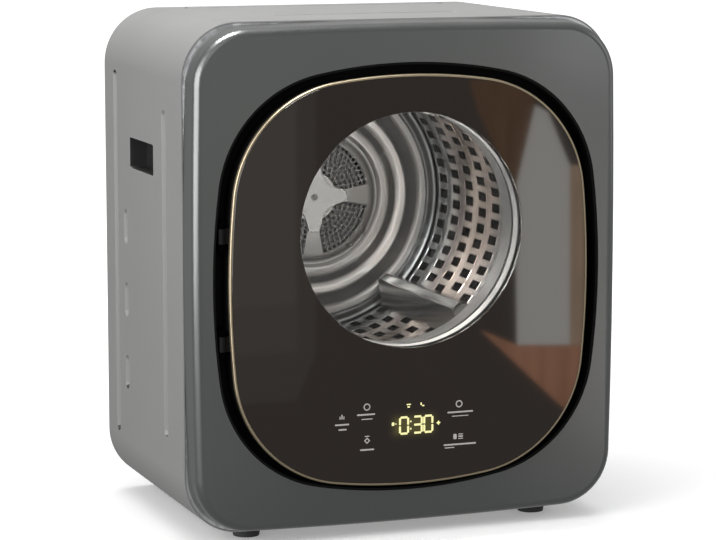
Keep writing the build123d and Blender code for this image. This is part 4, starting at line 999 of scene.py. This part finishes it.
dress(make_drum_plate(), "drum", "drum_steel", back_light_finish)
dress(make_fans(), "drum", "drum_steel", fan_shade_finish)


# Lit marks
MARK_FRONT = glass_front + 0.01 * MM
MARK_THICK = 0.16 * MM
# The marks are measured from the cabinet's underside, which the feet lift by this much, in mm
MARK_BASE = 9.0


def bar(x, z, width, height, name="bar"):
    """A flat mark with rounded ends, its middle at x and z, in mm."""
    piece = start(
        name, bpy.ops.mesh.primitive_cube_add, size=1,
        location=(x * MM, MARK_FRONT + MARK_THICK / 2, (z + MARK_BASE) * MM),
        scale=(width * MM, MARK_THICK, height * MM),
    )
    reach = min(width, height) * 0.3 * MM
    edit(piece, "EDGE", lambda a, b: abs(a.y - b.y) > MARK_THICK / 2)
    bpy.ops.mesh.bevel(offset=reach, segments=2, affect="EDGES")
    done()
    return piece


def ring_mark(x, z, radius, width, sides=20):
    """A round mark, open in the middle."""
    piece = start(
        "ring_mark", bpy.ops.mesh.primitive_cylinder_add, vertices=sides, radius=radius * MM,
        depth=MARK_THICK, location=(x * MM, MARK_FRONT + MARK_THICK / 2, (z + MARK_BASE) * MM),
        rotation=(pi / 2, 0, 0),
    )
    edit(piece, "FACE", lambda c, n: abs(n.y) > 0.9)
    bpy.ops.mesh.inset(thickness=width * MM, use_boundary=True)
    done()
    inner = (radius - width) * MM * 1.02
    edit(piece, "FACE", lambda c, n: abs(n.y) > 0.9 and
         hypot(c.x - x * MM, c.z - (z + MARK_BASE) * MM) < inner * 0.4)
    bpy.ops.mesh.bridge_edge_loops()
    done()
    return piece


SEGMENTS = {"0": "abcdef", "3": "abgcd"}
DIGIT_WIDE = 8.2
DIGIT_HIGH = 15.5
STROKE = 2.0


def digit(number, x, z):
    """A seven-segment digit with its lower left corner at x and z, in mm."""
    w, h, half = DIGIT_WIDE, DIGIT_HIGH, DIGIT_HIGH / 2
    places = {
        "a": (w / 2, h, True), "g": (w / 2, half, True), "d": (w / 2, 0, True),
        "f": (0, half * 1.5, False), "b": (w, half * 1.5, False),
        "e": (0, half * 0.5, False), "c": (w, half * 0.5, False),
    }
    made = []
    for segment in SEGMENTS[number]:
        sx, sz, flat = places[segment]
        length = (w if flat else half) - STROKE * 0.55
        size = (length, STROKE) if flat else (STROKE, length)
        made.append(bar(x + sx, z + sz, *size, name="segment"))
    return made


def make_display():
    """The lit digits, their colon and the small signs round them."""
    made = digit("0", -12.4, 89.4) + digit("3", 1.4, 89.4) + digit("0", 12.2, 89.4)
    made += [bar(-1.5, 93.6, 1.6, 1.6), bar(-1.5, 100.6, 1.6, 1.6)]
    made += [bar(-19.4, 99.2, 2.6, 3.4), bar(-16.6, 99.2, 1.0, 1.4), bar(26.6, 97.4, 3.8, 1.3),
             bar(26.6, 97.4, 1.3, 3.8)]
    made += [bar(-3.6, 117.0, 4.2, 1.2), bar(-3.6, 114.6, 2.6, 1.4), bar(9.0, 116.8, 1.4, 2.6),
             bar(11.0, 115.0, 2.4, 1.2)]
    return joined(made)


def make_touch_marks():
    """The printed signs to touch, each a simple shape over plain lines."""
    made = [bar(-70.5, 109.6, 1.2, 4.4), bar(-72.4, 108.6, 0.9, 3.0), bar(-68.6, 108.6, 0.9, 3.0),
            bar(-70.5, 102.1, 14.0, 1.5), bar(-70.0, 97.4, 8.0, 1.4)]
    made += [ring_mark(-45.6, 117.4, 3.4, 1.0), bar(-43.6, 115.4, 1.6, 1.8),
             bar(-46.5, 110.2, 18.0, 1.5), bar(-45.5, 105.8, 11.0, 0.9)]
    made += [ring_mark(-45.5, 85.2, 3.1, 1.0, 4), bar(-45.5, 89.4, 4.6, 0.9),
             bar(-45.5, 76.6, 14.0, 1.5)]
    made += [ring_mark(47.6, 114.2, 3.5, 1.1), bar(48.8, 106.4, 26.0, 1.5),
             bar(48.8, 102.6, 17.0, 0.8)]
    made += [bar(43.6, 82.8, 3.4, 5.2), bar(49.4, 82.8, 4.8, 1.4), bar(49.4, 84.9, 4.8, 0.9),
             bar(49.4, 80.7, 4.8, 0.9), bar(48.6, 75.2, 33.0, 1.5), bar(38.0, 72.4, 10.0, 0.9)]
    return joined(made)


led = dress(outward(make_display()), "door", "display", led_finish)
led.name = led.data.name = "lit_digits"
marks = dress(outward(make_touch_marks()), "door", "display", mark_finish)
marks.name = marks.data.name = "touch_marks"


# Studio
CAMERA_PLACE = (-0.9549, -2.5854, 0.6394)
CAMERA_LENS = 141.85
CAMERA_YAW = 0.3549
CAMERA_PITCH = 0.1467


def camera():
    """The photograph's view, as fitted to the machine's silhouette."""
    data = bpy.data.cameras.new("photograph camera")
    data.sensor_width = 36.0
    data.lens = CAMERA_LENS
    data.clip_start = 0.05
    data.clip_end = 60.0
    item = bpy.data.objects.new("photograph camera", data)
    bpy.context.scene.collection.objects.link(item)
    item.location = CAMERA_PLACE
    ahead = Vector((sin(CAMERA_YAW) * cos(CAMERA_PITCH), cos(CAMERA_YAW) * cos(CAMERA_PITCH),
                    -sin(CAMERA_PITCH)))
    item.rotation_euler = ahead.to_track_quat("-Z", "Y").to_euler()
    bpy.context.scene.camera = item


camera()


def softbox(name, place, aim, width, height, watts):
    """A white area lamp at a place, aimed at a point."""
    data = bpy.data.lights.new(name, "AREA")
    data.shape = "RECTANGLE"
    data.size = width
    data.size_y = height
    data.energy = watts
    item = bpy.data.objects.new(name, data)
    bpy.context.scene.collection.objects.link(item)
    item.location = place
    item.rotation_euler = (Vector(aim) - Vector(place)).to_track_quat("-Z", "Y").to_euler()
    item.visible_camera = False
    return item


softbox("left key", (-1.7, -1.0, 0.95), (0, -0.05, 0.25), 1.2, 1.3, 18)
overhead = softbox("overhead", (-0.1, 0.2, 1.9), (0, 0, 0.3), 2.0, 2.0, 30)
overhead.visible_glossy = False
softbox("front fill", (-0.5, -2.6, 1.3), (0, 0, 0.3), 1.2, 1.0, 8)
softbox("right fill", (1.9, -0.9, 0.8), (0, 0, 0.25), 0.8, 1.4, 6)
drum_lamp = softbox("drum lamp", (-0.05, -0.116, 0.36), (0.08, 0.12, 0.25), 0.08, 0.03, 2.1)
drum_lamp.visible_transmission = False


def world():
    """White behind the machine, and a dimmer white in what it reflects."""
    made = bpy.data.worlds.new("studio")
    bpy.context.scene.world = made
    made.use_nodes = True
    tree = made.node_tree
    back = tree.nodes["Background"]
    path = node(tree, "ShaderNodeLightPath")
    strength = spread(tree, path.outputs["Is Camera Ray"], 0.4, 1.0)
    tree.links.new(strength, back.inputs["Strength"])
    back.inputs["Color"].default_value = (1, 1, 1, 1)


world()


def floor():
    """A pale floor that fades into the white round it."""
    piece = start("floor", bpy.ops.mesh.primitive_circle_add, vertices=96, radius=14,
                  fill_type="NGON", location=(0, 0, 0))
    material, tree, shader = new_material("pale floor")
    grain_out = placed(tree, peel, {"Grain Size": 90.0, "Tone Size": 2.0})
    tree.links.new(blend(tree, grain_out["Tone"], colour((0.88, 0.88, 0.88)),
                         colour((0.92, 0.92, 0.92))), shader.inputs["Base Color"])
    shader.inputs["Roughness"].default_value = 0.7
    place = node(tree, "ShaderNodeTexCoord").outputs["Object"]
    far = node(tree, "ShaderNodeVectorMath", {0: place}, operation="LENGTH").outputs["Value"]
    fade = node(tree, "ShaderNodeMapRange",
                {"Value": far, "From Min": 0.4, "From Max": 1.6, "To Min": 0.25, "To Max": 1.0})
    white = blend(tree, fade.outputs[0], colour((0, 0, 0)), colour((1, 1, 1)))
    tree.links.new(white, shader.inputs["Emission Color"])
    shader.inputs["Emission Strength"].default_value = 0.85
    piece.visible_diffuse = False
    piece.visible_glossy = False
    piece.data.materials.append(material)


floor()


def soft_card(name, corners, tint, strength, grained=0.0):
    """A soft reflector outside the view, seen only in what is glossy."""
    piece = start(name, bpy.ops.mesh.primitive_circle_add, vertices=len(corners), radius=1,
                  fill_type="NGON")
    for vertex, place in zip(piece.data.vertices, corners):
        vertex.co = place
    piece.data.update()
    material = bpy.data.materials.new(name)
    material.use_nodes = True
    tree = material.node_tree
    tree.nodes.clear()
    shade = colour(tint)
    if grained:
        place = node(tree, "ShaderNodeTexCoord").outputs["Object"]
        stretched = node(tree, "ShaderNodeVectorMath", {0: place, 1: (60.0, 1.0, 9.0)},
                         operation="MULTIPLY").outputs[0]
        shade = blend(tree, noise(tree, stretched, 1.0, 4.0, 0.6),
                      colour([c * (1 - grained) for c in tint]),
                      colour([c * (1 + grained) for c in tint]))
    glow = node(tree, "ShaderNodeEmission", {"Color": shade, "Strength": strength})
    out = node(tree, "ShaderNodeOutputMaterial")
    tree.links.new(glow.outputs[0], out.inputs["Surface"])
    piece.data.materials.append(material)
    piece.visible_camera = False
    piece.visible_diffuse = False
    piece.visible_shadow = False
    piece.visible_transmission = False


# The plane ahead of the machine where the cards for its glass and its face stand
CARD_Y = -1.5
WHITE = (1.0, 1.0, 1.0)
WARM_WHITE = (1.0, 0.98, 0.94)
WALL_WHITE = (1.0, 1.0, 0.97)


def front_card(name, corners, tint, strength, grained=0.0):
    """One of the soft cards ahead of the machine that its glass reflects."""
    soft_card(name, [(x, CARD_Y, z) for x, z in corners], tint, strength, grained)


def front_panel(name, low, high, tint, strength):
    """An upright rectangular card between two corners, each an x and a z."""
    corners = [low, (high[0], low[1]), high, (low[0], high[1])]
    front_card(name, corners, tint, strength)


# A pale wall, wood beside and under it, and a dark wedge of wood, as the photo's glass shows
front_card("pale_card", [(0.72, 0.275), (0.689, 0.151), (0.694, -0.08), (0.78, -0.085),
                         (0.777, 0.184), (0.741, 0.264)], WARM_WHITE, 4.2)
front_card("brown_card", [(0.777, 0.184), (0.801, 0.183), (0.805, -0.087), (0.78, -0.085)],
           (1.0, 0.72, 0.52), 3.0, 0.4)
front_card("wood_card", [(0.635, -0.054), (0.694, -0.08), (0.805, -0.087), (0.789, -0.162),
                         (0.773, -0.183)], (1.0, 0.5, 0.32), 3.0, 0.5)
front_card("dark_wood_card", [(0.616, 0.314), (0.719, 0.311), (0.72, 0.275), (0.689, 0.151),
                              (0.629, 0.27)], (1.0, 0.6, 0.4), 0.95, 0.5)
front_panel("left_front_card", (0.05, 0.0), (0.35, 0.33), WALL_WHITE, 0.78)
front_panel("left_middle_card", (0.05, -0.07), (0.35, 0.0), WALL_WHITE, 0.68)
front_panel("left_low_card", (0.05, -0.14), (0.35, -0.07), WALL_WHITE, 0.57)
front_card("edge_card", [(0.35, -0.14), (0.38, -0.07), (0.38, 0.33), (0.35, 0.33)],
           WARM_WHITE, 0.58)

# What the painted face reflects past the glass
front_panel("bottom_left_card", (0.05, -0.4), (0.23, -0.14), WHITE, 0.8)
front_panel("upper_card", (0.05, 0.335), (0.7, 0.5), WHITE, 0.9)
front_panel("corner_card", (0.74, 0.322), (0.88, 0.43), WHITE, 6.0)
front_panel("dark_floor_card", (0.23, -0.42), (0.72, -0.285), WHITE, 0.04)
front_panel("right_card", (0.822, -0.04), (0.95, 0.32), (1.0, 1.0, 0.98), 1.7)
front_panel("right_low_card", (0.822, -0.27), (0.95, -0.04), (1.0, 1.0, 0.98), 3.6)
soft_card("left_card", [(-1.7, -2.7, 0.0), (-1.7, 0.0, 0.0), (-1.7, 0.0, 1.1),
                        (-1.7, -2.7, 1.1)], WHITE, 9.0)
soft_card("top_card", [(-0.75, -0.65, 1.85), (-0.1, -0.65, 1.85), (-0.1, 0.0, 1.85),
                       (-0.75, 0.0, 1.85)], WHITE, 55.0)

bpy.context.scene.view_settings.view_transform = "Standard"
